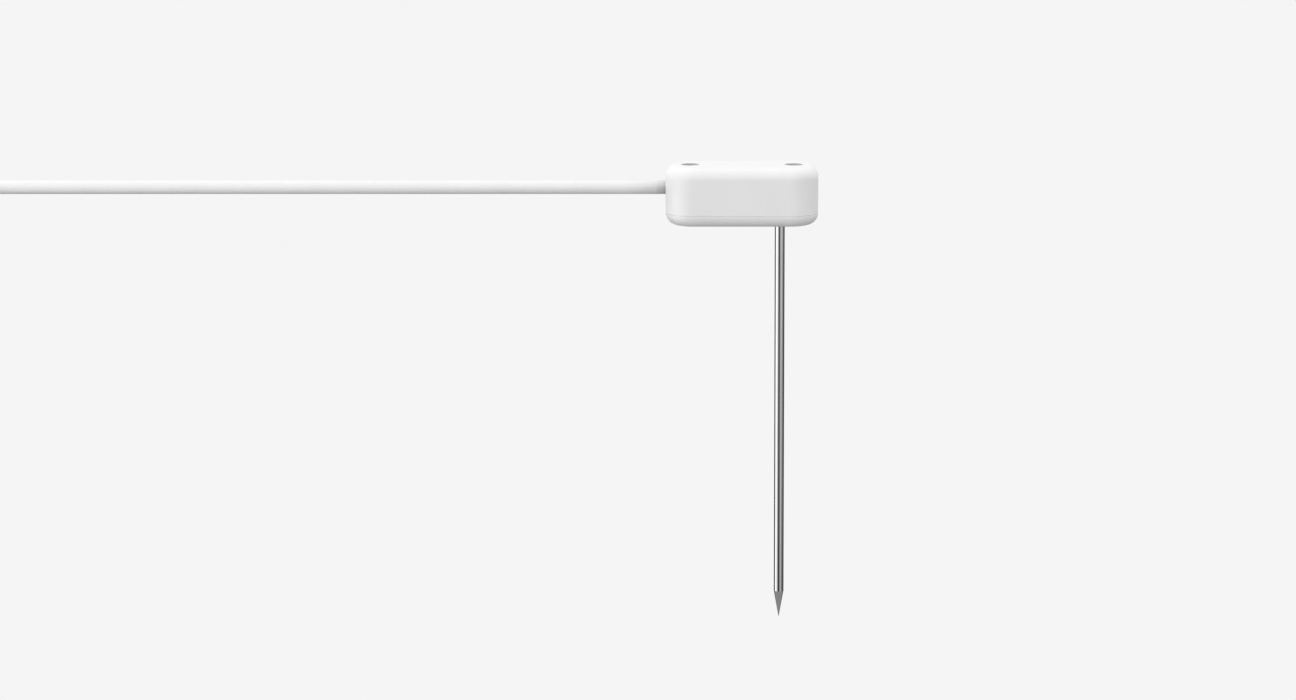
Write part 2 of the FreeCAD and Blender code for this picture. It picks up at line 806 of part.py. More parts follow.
# A brass collar, crimped on the spigot, draws the needle's shoulder up against the tray.
collar = turned(
    "needle_collar",
    [
        ("spigot_diameter / 2 + thread_gap", 0),
        ("collar_diameter / 2", 0),
        ("collar_diameter / 2", "collar_height"),
        ("spigot_diameter / 2 + thread_gap", "collar_height"),
    ],
)
seat(collar, 0, 0, COLLAR_Z)
node(collar, "needle_collar")

# ---- sensor inside the needle

BEAD_Z = f"({CONE_Z} + tip_plug_length + bead_height - bead_length)"
BEAD_TOP = f"({BEAD_Z} + bead_length)"
FILLER_TOP = f"({CONE_Z} + tip_plug_length + filler_length)"
bead = cylinder("thermistor_bead", "bead_diameter", "bead_length", z=BEAD_Z)
node(bead, "thermistor_bead")

lead_height = value(TERMINAL_Z)
lead_end = value(f"{SENSOR_TERMINAL_X} + terminal_length / 2")
half_gap = value("lead_spacing / 2")
lead_routes = []
for sign in (-1, 1):
    y = sign * half_gap
    foot = Vector(0, y, value(BEAD_TOP))
    lead_routes.append([foot, Vector(0, y, lead_height), Vector(lead_end, y, lead_height)])
leads = wires("sensor_leads", lead_routes, value("lead_diameter"), value("lead_bend"))
node(leads, "sensor_leads")

filler_blank = cylinder(
    "filler_blank",
    f"{NEEDLE_BORE} - thread_gap",
    "filler_length",
    z=f"{CONE_Z} + tip_plug_length",
)
filler_room = [cylinder("bead_room", "bead_diameter", "bead_length", z=BEAD_Z)]
for sign in (-1, 1):
    filler_room.append(
        cylinder(
            "lead_room",
            "lead_diameter",
            f"{FILLER_TOP} + lead_diameter - {BEAD_TOP}",
            y=f"{sign} * lead_spacing / 2",
            z=BEAD_TOP,
        )
    )
filler = cut("thermal_filler", filler_blank, joined("MultiFuse", "filler_rooms", filler_room))
node(filler, "thermal_filler")

lead_sleeve = turned(
    "lead_sleeve",
    [
        ("sleeve_diameter / 2 - sleeve_wall", FILLER_TOP),
        ("sleeve_diameter / 2", FILLER_TOP),
        ("sleeve_diameter / 2", f"{SPIGOT_TOP} + spigot_stand"),
        ("sleeve_diameter / 2 - sleeve_wall", f"{SPIGOT_TOP} + spigot_stand"),
    ],
)
node(lead_sleeve, "lead_sleeve")

# ---- the lead's entry

# The grommet is moulded on the lead. Its flange bears on the inside of the end wall, and
# the tray's fork stands behind the flange.
grommet = turned(
    "cable_grommet",
    [
        (0, "cable_diameter / 2"),
        (0, "grommet_flange / 2"),
        ("grommet_flange_thickness", "grommet_flange / 2"),
        ("grommet_flange_thickness", "grommet_sleeve / 2"),
        ("grommet_length", "grommet_sleeve / 2"),
        ("grommet_length", "cable_diameter / 2"),
    ],
    along="x",
)
seat(grommet, f"{HEAD_X} + {GROMMET_X}", 0, CABLE_Z)
node(grommet, "cable_grommet")

cable_tail = cylinder(
    "cable_tail",
    "cable_diameter",
    "wall + land_thickness + grommet_length",
    LEFT_FACE,
    0,
    CABLE_Z,
    Rotation(Vector(0, 1, 0), 90),
)
node(cable_tail, "cable_tail")

# Three insulated cores pass round the left screw column, two on one side and one on the
# other, and end in the terminal block.
tail_end = value(f"{HEAD_X} + {GROMMET_X} + grommet_length")
column_x = value(f"{HEAD_X} - {SCREW_X}")
column_half = value("column_diameter / 2")
core_end = value(f"{CABLE_TERMINAL_X} - terminal_length / 2")
core_lane = value("core_lane")
core_side = column_half + 2 * value("core_diameter")
core_routes = []
for side, rise, pole in ((1, 1, 1), (-1, 1, -1), (1, -1, 0)):
    pitch = pole * value("terminal_pitch")
    level = value(CABLE_Z) + rise * value("core_rise")
    core_routes.append(
        [
            Vector(tail_end, side * core_lane, level),
            Vector(tail_end + core_lane / 2, side * core_lane, level),
            Vector(column_x - column_half / 2, side * core_side, level),
            Vector(column_x + column_half, side * core_side, level),
            Vector(core_end - core_lane, pitch, value(TERMINAL_Z)),
            Vector(core_end, pitch, value(TERMINAL_Z)),
        ]
    )
cores = wires("cable_cores", core_routes, value("core_diameter"), value("core_bend"))
node(cores, "cable_cores")

# ---- the lead outside the head

HANK_RIGHT = "(0 - hank_distance)"
HANK_LEFT = f"({HANK_RIGHT} - hank_run)"
HANK_Z = f"({SOIL_Z} + tie_thickness + fit_gap)"
LAP_X = "(0 - lap_distance)"
PLUG_X = "(0 - plug_distance)"
PLUG_Z = f"({SOIL_Z} + ring_diameter / 2)"
TIE_X = "(0 - tie_distance)"
lead_width = value("cable_diameter")
inner_lane = value("hank_bend_radius")
outer_lane = inner_lane + lead_width
middle_layer = value(f"{HANK_Z} + 1.5 * cable_diameter")
top_layer = value(f"{HANK_Z} + 2.5 * cable_diameter")

CABLE_ROUTE = [
    (value(LEFT_FACE), 0, value(CABLE_Z)),
    (-279, 0, top_layer),
    (-309, -outer_lane, top_layer),
    (value(LAP_X), -outer_lane, top_layer),
]
tube("cable", CABLE_ROUTE, lead_width)

# The put-away length is wound into an oval hank. Two layers of two turns go all the way
# round, and the last turn lies on them from where the lead comes in.
OUTER = "(2 * (hank_bend_radius + 1.5 * cable_diameter))"
INNER = "(2 * (hank_bend_radius - 0.5 * cable_diameter))"


def oval(name, width, height, z):
    """A block with half-round ends, as long as the hank's runs between their centres."""
    pieces = [
        box(name + "_middle", "hank_run", width, height, f"({HANK_LEFT} + hank_run / 2)", 0, z),
        cylinder(name + "_right", width, height, HANK_RIGHT, 0, z),
        cylinder(name + "_left", width, height, HANK_LEFT, 0, z),
    ]
    return joined("MultiFuse", name, pieces)


hank_ring = cut(
    "hank_ring",
    oval("hank_outside", OUTER, "3 * cable_diameter", HANK_Z),
    oval("hank_inside", INNER, "4 * cable_diameter", f"{HANK_Z} - cable_diameter / 2"),
)
STEP_LENGTH = f"({HANK_RIGHT} + {OUTER} - {LAP_X})"
hank_step = box(
    "hank_step",
    STEP_LENGTH,
    f"2 * {OUTER}",
    "2 * cable_diameter",
    f"{LAP_X} + {STEP_LENGTH} / 2",
    0,
    f"{HANK_Z} + 2 * cable_diameter - thread_gap",
)
hank = cut("cable_hank", hank_ring, hank_step)
node(hank, "cable_hank")

# A strap of hook-and-loop tape goes once round the hank.
tie = new_body("hank_tie")
band = new_sketch(tie, "tie_band", "YZ_Plane")
TIE_Z = f"({HANK_Z} + 1.5 * cable_diameter)"
for extra in ("fit_gap", "(fit_gap + tie_thickness)"):
    rounded_rectangle(
        band,
        f"({OUTER} + 2 * {extra})",
        f"(3 * cable_diameter + 2 * {extra})",
        f"(tie_corner + {extra})",
        0,
        TIE_Z,
    )
pad(tie, band, "tie_width", midplane=True)
seat(tie, TIE_X)
node(tie, "hank_tie")

# The far end leaves the hank's inside and runs to the plug, which lies on the soil there.
plug_height = value(PLUG_Z)
END_ROUTE = [
    (-287, -inner_lane, middle_layer),
    (-303, -inner_lane, middle_layer),
    (-328, 0, plug_height),
    (value(PLUG_X), 0, plug_height),
]
tube("cable_end", END_ROUTE, lead_width)

# ---- plug, with its nose towards -X


def plug_turned(name, points):
    """A turned piece of the plug; positions count from the lead's side towards the nose."""
    piece = turned(name, [(f"0 - ({x})", r) for x, r in points], along="x")
    seat(piece, PLUG_X, 0, PLUG_Z)
    return piece


BODY_X = "relief_length"
BODY_R = "(plug_diameter / 2)"
NECK_X = f"({BODY_X} + plug_body_length)"
NECK_END = f"({NECK_X} + neck_length)"
NECK_R = "(neck_diameter / 2)"
RING_X = f"({NECK_X} + 2 * ring_clearance)"
RING_R = "(ring_diameter / 2)"
RING_BORE = f"({NECK_R} + ring_clearance)"
GRIP_END = f"({RING_X} + ring_grip_length)"
RING_END = f"({GRIP_END} + thread_length)"
THREAD_R = "(thread_diameter / 2)"
CLIP_X = f"({RING_X} + clip_inset)"
SOCKET_X = f"({NECK_END} - socket_depth)"
FRONT_X = f"({NECK_END} + insert_front)"

# The strain relief tapers towards the lead, with grooves that let it bend.
RIBS = 4
relief_points = [(0, 0), (0, "relief_small_diameter / 2")]
for rib in range(RIBS):
    along = f"relief_length / {RIBS + 0.5}"
    groove = f"({along} * {rib + 0.55})"
    groove_end = f"({groove} + rib_gap)"
    rib_r = f"({BODY_R} - (plug_diameter - relief_small_diameter) / 2 * {1 - (rib + 0.5) / RIBS:.4f})"
    relief_points += [(groove, rib_r), (groove, f"{rib_r} - rib_depth")]
    relief_points += [(groove_end, f"{rib_r} - rib_depth"), (groove_end, rib_r)]
relief_points += [(BODY_X, f"{BODY_R} - edge_break"), (BODY_X, 0)]
node(plug_turned("plug_strain_relief", relief_points), "plug_strain_relief")

body_points = [
    (BODY_X, 0),
    (BODY_X, BODY_R),
    (f"{NECK_X} - edge_break", BODY_R),
    (NECK_X, f"{BODY_R} - edge_break"),
    (NECK_X, NECK_R),
    (CLIP_X, NECK_R),
    (CLIP_X, f"{NECK_R} - clip_groove_depth"),
    (f"{CLIP_X} + clip_groove_width", f"{NECK_R} - clip_groove_depth"),
    (f"{CLIP_X} + clip_groove_width", NECK_R),
    (NECK_END, NECK_R),
    (NECK_END, "plug_bore / 2"),
    (SOCKET_X, "plug_bore / 2"),
    (SOCKET_X, 0),
]
node(plug_turned("plug_body", body_points), "plug_body")

# The coupling ring turns on the neck. A clip in the neck's groove reaches into the wider
# groove of the ring and keeps it there.
ring_points = [
    (RING_X, RING_BORE),
    (RING_X, f"{RING_R} - edge_break"),
    (f"{RING_X} + edge_break", RING_R),
    (f"{GRIP_END} - edge_break", RING_R),
    (GRIP_END, f"{RING_R} - edge_break"),
    (GRIP_END, f"{THREAD_R} - edge_break"),
    (f"{GRIP_END} + 2 * edge_break", f"{THREAD_R} - edge_break"),
    (f"{GRIP_END} + 3 * edge_break", THREAD_R),
    (f"{RING_END} - edge_break", THREAD_R),
    (RING_END, f"{THREAD_R} - edge_break"),
    (RING_END, RING_BORE),
    (f"{CLIP_X} + clip_groove_width + 2 * fit_gap", RING_BORE),
    (f"{CLIP_X} + clip_groove_width + 2 * fit_gap", f"{RING_BORE} + ring_groove_depth"),
    (f"{CLIP_X} - 2 * fit_gap", f"{RING_BORE} + ring_groove_depth"),
    (f"{CLIP_X} - 2 * fit_gap", RING_BORE),
]
coupling_ring = plug_turned("plug_coupling_ring", ring_points)
flute = new_sketch(coupling_ring, "grip_flute", "YZ_Plane", f"0 - {GRIP_END}")
circle(flute, "flute_diameter", 0, f"{RING_R} + flute_diameter / 2 - flute_depth")
flute_cut = pocket(coupling_ring, flute, "ring_grip_length", towards_normal=True)
GRIP_FLUTES = 20
flutes = coupling_ring.newObject("PartDesign::PolarPattern", "grip_flutes")
flutes.Originals = [flute_cut]
flutes.Axis = (flute, ["N_Axis"])
flutes.Angle = 360
flutes.Occurrences = GRIP_FLUTES
coupling_ring.Tip = flutes
node(coupling_ring, "plug_coupling_ring")

CLIP_OUT = f"{RING_BORE} + ring_groove_depth / 2"
CLIP_IN = f"{NECK_R} - clip_groove_depth + fit_gap / 2"
clip_near, clip_far = f"{CLIP_X} + fit_gap", f"{CLIP_X} + clip_groove_width - fit_gap"
clip_points = [(clip_near, CLIP_IN), (clip_near, CLIP_OUT), (clip_far, CLIP_OUT), (clip_far, CLIP_IN)]
clip_ring = plug_turned("clip_ring", clip_points)
clip_gap = box(
    "clip_gap",
    "2 * clip_groove_width",
    "neck_diameter / 2",
    "neck_diameter",
    f"{PLUG_X} - {CLIP_X} - clip_groove_width / 2",
    0,
    PLUG_Z,
)
node(cut("ring_clip", clip_ring, clip_gap), "ring_clip")

INSERT_R = "plug_bore / 2 - thread_gap"
insert_back = f"{SOCKET_X} + thread_gap"
insert_points = [(insert_back, 0), (insert_back, INSERT_R), (FRONT_X, INSERT_R), (FRONT_X, 0)]
insert_blank = plug_turned("insert_blank", insert_points)
PINS = 3
pins, pin_rooms = [], []
for i in range(PINS):
    turn = 2 * math.pi * i / PINS
    for group, name in ((pins, "pin"), (pin_rooms, "pin_room")):
        one = cylinder(
            f"{name}_{i}",
            "pin_diameter",
            "pin_length",
            f"{PLUG_X} - {FRONT_X} - pin_stand",
            f"{math.sin(turn):.6f} * pin_circle / 2",
            f"{PLUG_Z} + {math.cos(turn):.6f} * pin_circle / 2",
            Rotation(Vector(0, 1, 0), 90),
        )
        group.append(one)
node(joined("Compound", "plug_pins", pins), "plug_pins")
rooms = joined("MultiFuse", "pin_rooms", pin_rooms)
node(cut("plug_insert", insert_blank, rooms), "plug_insert")

face_ring = doc.addObject("Part::Torus", "plug_o_ring")
bind(face_ring, Radius1="(plug_bore + face_ring_section) / 2", Radius2="face_ring_section / 2 - thread_gap")
seat(
    face_ring,
    f"{PLUG_X} - {NECK_END} - face_ring_section / 2",
    0,
    PLUG_Z,
    Rotation(Vector(0, 1, 0), 90),
)
node(face_ring, "plug_o_ring")

# ---- check and write every piece

doc.recompute()
for item in doc.Objects:
    if {"Invalid", "Error"} & set(item.State):
        raise RuntimeError(f"{item.Label} did not recompute: {item.State}")
os.makedirs("parts", exist_ok=True)
for item in NODES:
    shape = item.Shape
    if shape.isNull() or not shape.isValid() or not shape.Solids:
        raise RuntimeError(f"{item.Label} has no valid solid")
    shape.exportStep(f"parts/{item.Label}.step")
    print(f"{item.Label}: {len(shape.Solids)} solid(s), {shape.Volume:.2f} mm3")
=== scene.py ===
import math

import bmesh
import bpy
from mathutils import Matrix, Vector


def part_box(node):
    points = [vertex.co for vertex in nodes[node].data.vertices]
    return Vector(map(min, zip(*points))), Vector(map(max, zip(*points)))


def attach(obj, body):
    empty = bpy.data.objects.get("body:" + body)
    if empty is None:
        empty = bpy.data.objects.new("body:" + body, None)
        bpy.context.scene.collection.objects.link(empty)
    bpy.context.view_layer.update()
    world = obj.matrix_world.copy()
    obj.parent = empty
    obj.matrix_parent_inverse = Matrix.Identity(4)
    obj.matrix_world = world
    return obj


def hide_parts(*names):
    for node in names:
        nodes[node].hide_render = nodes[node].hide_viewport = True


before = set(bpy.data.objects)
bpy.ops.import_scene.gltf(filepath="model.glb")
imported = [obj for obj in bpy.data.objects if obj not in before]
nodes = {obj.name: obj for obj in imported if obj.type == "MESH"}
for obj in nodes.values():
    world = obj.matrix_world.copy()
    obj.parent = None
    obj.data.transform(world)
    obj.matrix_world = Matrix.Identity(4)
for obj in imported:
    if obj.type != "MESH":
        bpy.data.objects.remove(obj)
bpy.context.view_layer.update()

# ---------------------------------------------------------------------------------------
# Head shell
# Two halves moulded in white weatherproof ASA: a cup on top, and a tray that closes it from
# below. The tool leaves a fine satin grain, and the plastic varies a little in tone. The
# cup's two screw wells are painted grey, as painted shade for their depth.

MM = 0.001
ASA_WHITE = (0.86, 0.86, 0.86)
ASA_SHADE = (0.835, 0.835, 0.835)
ASA_GLOSS = 0.36
ASA_WELL_PAINTED_SHADE = (0.62, 0.62, 0.615)
WELL_RADIUS = 3.08 * MM
screws_low, screws_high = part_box("housing_screws")
SCREW_HEAD_RADIUS = 2.0 * MM
SCREW_AXES = (
    Vector((screws_low.x + SCREW_HEAD_RADIUS, 0, 0)),
    Vector((screws_high.x - SCREW_HEAD_RADIUS, 0, 0)),
)


def finish(name, colour, roughness, metallic=0.0):
    """A material with one colour and gloss, to which its section adds detail."""
    material = bpy.data.materials.new(name)
    material.use_nodes = True
    shader = material.node_tree.nodes["Principled BSDF"]
    shader.inputs["Base Color"].default_value = (*colour, 1)
    shader.inputs["Roughness"].default_value = roughness
    shader.inputs["Metallic"].default_value = metallic
    return material


def mottle(material, size, stretch=(1, 1, 1), depth=3):
    """Cloudy noise that stays on the piece, its patches about size metres across."""
    tree = material.node_tree
    place = tree.nodes.new("ShaderNodeTexCoord")
    sized = tree.nodes.new("ShaderNodeMapping")
    sized.inputs["Scale"].default_value = [1 / (size * along) for along in stretch]
    cloud = tree.nodes.new("ShaderNodeTexNoise")
    cloud.inputs["Scale"].default_value = 1
    cloud.inputs["Detail"].default_value = depth
    tree.links.new(place.outputs["Object"], sized.inputs["Vector"])
    tree.links.new(sized.outputs["Vector"], cloud.inputs["Vector"])
    return cloud.outputs["Fac"]


PATTERN_LOW = 0.3
PATTERN_HIGH = 0.7


def tone(material, pattern, dark, light):
    """The colour goes from dark to light with the pattern."""
    tree = material.node_tree
    ramp = tree.nodes.new("ShaderNodeValToRGB")
    ramp.color_ramp.elements[0].position = PATTERN_LOW
    ramp.color_ramp.elements[0].color = (*dark, 1)
    ramp.color_ramp.elements[1].position = PATTERN_HIGH
    ramp.color_ramp.elements[1].color = (*light, 1)
    tree.links.new(pattern, ramp.inputs["Fac"])
    tree.links.new(ramp.outputs["Color"], tree.nodes["Principled BSDF"].inputs["Base Color"])


def gloss(material, pattern, smooth, rough):
    """The roughness goes from smooth to rough with the pattern."""
    tree = material.node_tree
    spread = tree.nodes.new("ShaderNodeMapRange")
    spread.inputs["From Min"].default_value = PATTERN_LOW
    spread.inputs["From Max"].default_value = PATTERN_HIGH
    spread.inputs["To Min"].default_value = smooth
    spread.inputs["To Max"].default_value = rough
    tree.links.new(pattern, spread.inputs["Value"])
    tree.links.new(spread.outputs["Result"], tree.nodes["Principled BSDF"].inputs["Roughness"])


def relief(material, pattern, height):
    """The pattern raises the surface by up to height metres, over any relief it has."""
    tree = material.node_tree
    normal = tree.nodes["Principled BSDF"].inputs["Normal"]
    bump = tree.nodes.new("ShaderNodeBump")
    bump.inputs["Distance"].default_value = height
    if normal.is_linked:
        tree.links.new(normal.links[0].from_socket, bump.inputs["Normal"])
    tree.links.new(pattern, bump.inputs["Height"])
    tree.links.new(bump.outputs["Normal"], normal)


def dress(material, *names):
    """Puts the material on pieces that come from the CAD model."""
    for name in names:
        nodes[name].material_slots[0].material = material


def within(material, centre, radius):
    """1 inside an upright cylinder round the centre, and 0 outside it."""
    tree = material.node_tree
    place = tree.nodes.new("ShaderNodeTexCoord")
    flat = tree.nodes.new("ShaderNodeVectorMath")
    flat.operation = "MULTIPLY"
    flat.inputs[1].default_value = (1, 1, 0)
    away = tree.nodes.new("ShaderNodeVectorMath")
    away.operation = "DISTANCE"
    away.inputs[1].default_value = (centre.x, centre.y, 0)
    inside = tree.nodes.new("ShaderNodeMath")
    inside.operation = "LESS_THAN"
    inside.inputs[1].default_value = radius
    tree.links.new(place.outputs["Object"], flat.inputs[0])
    tree.links.new(flat.outputs["Vector"], away.inputs[0])
    tree.links.new(away.outputs["Value"], inside.inputs[0])
    return inside.outputs["Value"]


# Sockets of a Mix node for colours: the share, the colour at 0, the colour at 1, the result.
MIX_SHARE = 0
MIX_UNDER = 6
MIX_OVER = 7
MIX_RESULT = 2


def marked(material, mask, colour):
    """The colour replaces the material's own pattern wherever the mask is 1."""
    tree = material.node_tree
    base = tree.nodes["Principled BSDF"].inputs["Base Color"]
    mix = tree.nodes.new("ShaderNodeMix")
    mix.data_type = "RGBA"
    tree.links.new(base.links[0].from_socket, mix.inputs[MIX_UNDER])
    mix.inputs[MIX_OVER].default_value = (*colour, 1)
    tree.links.new(mask, mix.inputs[MIX_SHARE])
    tree.links.new(mix.outputs[MIX_RESULT], base)


asa = finish("housing_asa", ASA_WHITE, ASA_GLOSS)
tone(asa, mottle(asa, size=9 * MM), ASA_SHADE, ASA_WHITE)
gloss(asa, mottle(asa, size=1.1 * MM), smooth=ASA_GLOSS - 0.03, rough=ASA_GLOSS + 0.05)
relief(asa, mottle(asa, size=0.12 * MM, depth=2), height=0.002 * MM)
dress(asa, "base_tray")

cup_asa_well_shade = asa.copy()
cup_asa_well_shade.name = "cup_asa_well_shade"
# Painted shade: the walls of the two screw wells are coloured grey to stand in for shade.
for screw_axis in SCREW_AXES:
    marked(cup_asa_well_shade, within(cup_asa_well_shade, screw_axis, WELL_RADIUS), ASA_WELL_PAINTED_SHADE)
dress(cup_asa_well_shade, "upper_housing")

# ---------------------------------------------------------------------------------------
# Base gasket
# A soft ring moulded in white silicone. It lies in the tray's groove, and the cup's edge
# presses on it when the screws are tightened.

SILICONE_WHITE = (0.80, 0.80, 0.79)
silicone = finish("gasket_silicone", SILICONE_WHITE, roughness=0.55)
relief(silicone, mottle(silicone, size=0.2 * MM), height=0.004 * MM)
gloss(silicone, mottle(silicone, size=0.8 * MM), smooth=0.48, rough=0.62)
dress(silicone, "base_gasket")

# ---------------------------------------------------------------------------------------
# Needle
# A thin stainless tube, closed by a turned and welded point. It is ground bright, which
# leaves very fine rings round it and a few longer streaks.

NEEDLE_STEEL = (0.70, 0.70, 0.70)
NEEDLE_SHADE = (0.66, 0.66, 0.665)
needle_steel = finish("needle_steel", NEEDLE_STEEL, roughness=0.09, metallic=1.0)
tone(needle_steel, mottle(needle_steel, size=2.5 * MM, stretch=(1, 1, 6)), NEEDLE_SHADE, NEEDLE_STEEL)
gloss(needle_steel, mottle(needle_steel, size=0.5 * MM, stretch=(1, 1, 30)), smooth=0.07, rough=0.12)
relief(needle_steel, mottle(needle_steel, size=0.06 * MM, stretch=(40, 40, 1)), height=0.0003 * MM)
dress(needle_steel, "needle_tube", "needle_tip")

# ---------------------------------------------------------------------------------------
# Needle mount
# Inside the head, a turned brass collar is crimped on the tube's narrow upper end. It bears
# on a stamped stainless washer on the tray's floor, and a black O-ring below the washer
# seals the hole. The threaded inserts are of the same brass.

BRASS = (0.78, 0.60, 0.30)
BRASS_DULL = (0.62, 0.46, 0.22)
brass = finish("turned_brass", BRASS, roughness=0.3, metallic=1.0)
tone(brass, mottle(brass, size=0.9 * MM), BRASS_DULL, BRASS)
gloss(brass, mottle(brass, size=0.4 * MM), smooth=0.22, rough=0.4)
relief(brass, mottle(brass, size=0.05 * MM, stretch=(30, 30, 1)), height=0.001 * MM)
dress(brass, "needle_collar", "threaded_inserts")

WASHER_STEEL = (0.60, 0.60, 0.61)
washer_steel = finish("washer_steel", WASHER_STEEL, roughness=0.28, metallic=1.0)
gloss(washer_steel, mottle(washer_steel, size=0.3 * MM, stretch=(12, 1, 1)), smooth=0.2, rough=0.38)
relief(washer_steel, mottle(washer_steel, size=0.06 * MM, stretch=(25, 1, 1)), height=0.001 * MM)
dress(washer_steel, "gland_washer")

RUBBER_BLACK = (0.025, 0.025, 0.026)
black_rubber = finish("seal_rubber", RUBBER_BLACK, roughness=0.5)
gloss(black_rubber, mottle(black_rubber, size=0.6 * MM), smooth=0.42, rough=0.6)
relief(black_rubber, mottle(black_rubber, size=0.1 * MM), height=0.004 * MM)
dress(black_rubber, "needle_o_ring", "plug_o_ring", "screw_seal_washers")

# ---------------------------------------------------------------------------------------
# Sensor in the needle
# A thermistor bead dipped in dark epoxy, potted in white filled epoxy near the point. Its
# two thin leads run up the tube in a milky sleeve. They and the lead's own cores are
# insulated in red PVC.

BEAD_BLACK = (0.03, 0.03, 0.04)
bead = finish("bead_epoxy", BEAD_BLACK, roughness=0.2)
gloss(bead, mottle(bead, size=0.3 * MM), smooth=0.14, rough=0.28)
dress(bead, "thermistor_bead")

POTTING_WHITE = (0.84, 0.83, 0.80)
POTTING_SHADE = (0.68, 0.67, 0.64)
potting = finish("thermal_potting", POTTING_WHITE, roughness=0.6)
tone(potting, mottle(potting, size=0.15 * MM), POTTING_SHADE, POTTING_WHITE)
relief(potting, mottle(potting, size=0.15 * MM), height=0.01 * MM)
dress(potting, "thermal_filler")

SLEEVE_MILK = (0.82, 0.82, 0.78)
sleeve = finish("lead_sleeve", SLEEVE_MILK, roughness=0.35)
sleeve.node_tree.nodes["Principled BSDF"].inputs["Subsurface Weight"].default_value = 0.2
gloss(sleeve, mottle(sleeve, size=0.4 * MM, stretch=(1, 1, 10)), smooth=0.28, rough=0.42)
dress(sleeve, "lead_sleeve")

CORE_RED = (0.66, 0.055, 0.045)
CORE_SHADE = (0.54, 0.04, 0.035)
red_pvc = finish("core_insulation", CORE_RED, roughness=0.38)
tone(red_pvc, mottle(red_pvc, size=1.5 * MM), CORE_SHADE, CORE_RED)
relief(red_pvc, mottle(red_pvc, size=0.1 * MM), height=0.003 * MM)
dress(red_pvc, "sensor_leads", "cable_cores")

# ---------------------------------------------------------------------------------------
# Circuit board
# Glass-fibre laminate under green solder mask, whose copper tracks show as faint ridges. A
# black chip, small ceramic parts and two grey terminals are soldered on it.

TRACK_PITCH = 1.3 * MM
MASK_GREEN = (0.012, 0.13, 0.05)
TRACK_GREEN = (0.02, 0.22, 0.085)
laminate = finish("board_laminate", MASK_GREEN, roughness=0.3)


def bands(material, pitch, along, uv_map=None):
    """Even ridges of the given pitch that cross the axis, by place or by the UV map."""
    tree = material.node_tree
    if uv_map:
        measure = tree.nodes.new("ShaderNodeUVMap")
        measure.uv_map = uv_map
        place = measure.outputs["UV"]
    else:
        place = tree.nodes.new("ShaderNodeTexCoord").outputs["Object"]
    wave = tree.nodes.new("ShaderNodeTexWave")
    wave.bands_direction = along
    # At scale 1 a wave is pi / 10 long.
    wave.inputs["Scale"].default_value = math.pi / (10 * pitch)
    tree.links.new(place, wave.inputs["Vector"])
    return wave.outputs["Fac"]


tracks = bands(laminate, TRACK_PITCH, along="Y")
tone(laminate, tracks, MASK_GREEN, TRACK_GREEN)
relief(laminate, tracks, height=0.03 * MM)
relief(laminate, mottle(laminate, size=0.35 * MM), height=0.006 * MM)
dress(laminate, "circuit_board")

CHIP_BLACK = (0.035, 0.035, 0.037)
chip_resin = finish("chip_resin", CHIP_BLACK, roughness=0.55)
gloss(chip_resin, mottle(chip_resin, size=0.5 * MM), smooth=0.45, rough=0.65)
relief(chip_resin, mottle(chip_resin, size=0.06 * MM), height=0.004 * MM)
dress(chip_resin, "signal_chip")

CERAMIC_TAN = (0.42, 0.32, 0.22)
TINNED_END = (0.66, 0.65, 0.63)
ceramic = finish("passive_ceramic", CERAMIC_TAN, roughness=0.4)
tone(ceramic, bands(ceramic, pitch=1.4 * MM, along="X"), CERAMIC_TAN, TINNED_END)
relief(ceramic, mottle(ceramic, size=0.08 * MM), height=0.004 * MM)
dress(ceramic, "board_passives")

TERMINAL_GREY = (0.66, 0.66, 0.64)
TERMINAL_SHADE = (0.58, 0.58, 0.56)
terminal_nylon = finish("terminal_nylon", TERMINAL_GREY, roughness=0.45)
tone(terminal_nylon, mottle(terminal_nylon, size=1.2 * MM), TERMINAL_SHADE, TERMINAL_GREY)
relief(terminal_nylon, mottle(terminal_nylon, size=0.1 * MM), height=0.004 * MM)
dress(terminal_nylon, "cable_terminal", "sensor_terminal")

# ---------------------------------------------------------------------------------------
# Screws
# Stainless cross-head screws, two through the head's top and two that hold the board. Their
# heads are cold formed and tumbled, so that they are bright with fine marks. Inside the cross
# of the two top screws, shade is painted near black. The clip in the plug's ring is of the
# same steel.

SCREW_STEEL = (0.56, 0.56, 0.56)
SCREW_SHADE = (0.46, 0.46, 0.465)
RECESS_RADIUS = 1.3 * MM
RECESS_START = 0.04 * MM
RECESS_PAINTED_SHADE = (0.05, 0.05, 0.05)
screw_steel = finish("screw_steel", SCREW_STEEL, roughness=0.3, metallic=1.0)
tone(screw_steel, mottle(screw_steel, size=0.5 * MM), SCREW_SHADE, SCREW_STEEL)
gloss(screw_steel, mottle(screw_steel, size=0.15 * MM), smooth=0.22, rough=0.4)
relief(screw_steel, mottle(screw_steel, size=0.07 * MM, stretch=(6, 1, 1)), height=0.001 * MM)
dress(screw_steel, "board_screws", "ring_clip")

head_screw_steel = screw_steel.copy()
head_screw_steel.name = "head_screw_steel"


def below(material, mask, height):
    """Keeps only the part of the mask that lies below the height."""
    tree = material.node_tree
    place = tree.nodes.new("ShaderNodeTexCoord")
    split = tree.nodes.new("ShaderNodeSeparateXYZ")
    lower = tree.nodes.new("ShaderNodeMath")
    lower.operation = "LESS_THAN"
    lower.inputs[1].default_value = height
    both = tree.nodes.new("ShaderNodeMath")
    both.operation = "MULTIPLY"
    tree.links.new(place.outputs["Object"], split.inputs[0])
    tree.links.new(split.outputs["Z"], lower.inputs[0])
    tree.links.new(lower.outputs[0], both.inputs[0])
    tree.links.new(mask, both.inputs[1])
    return both.outputs[0]


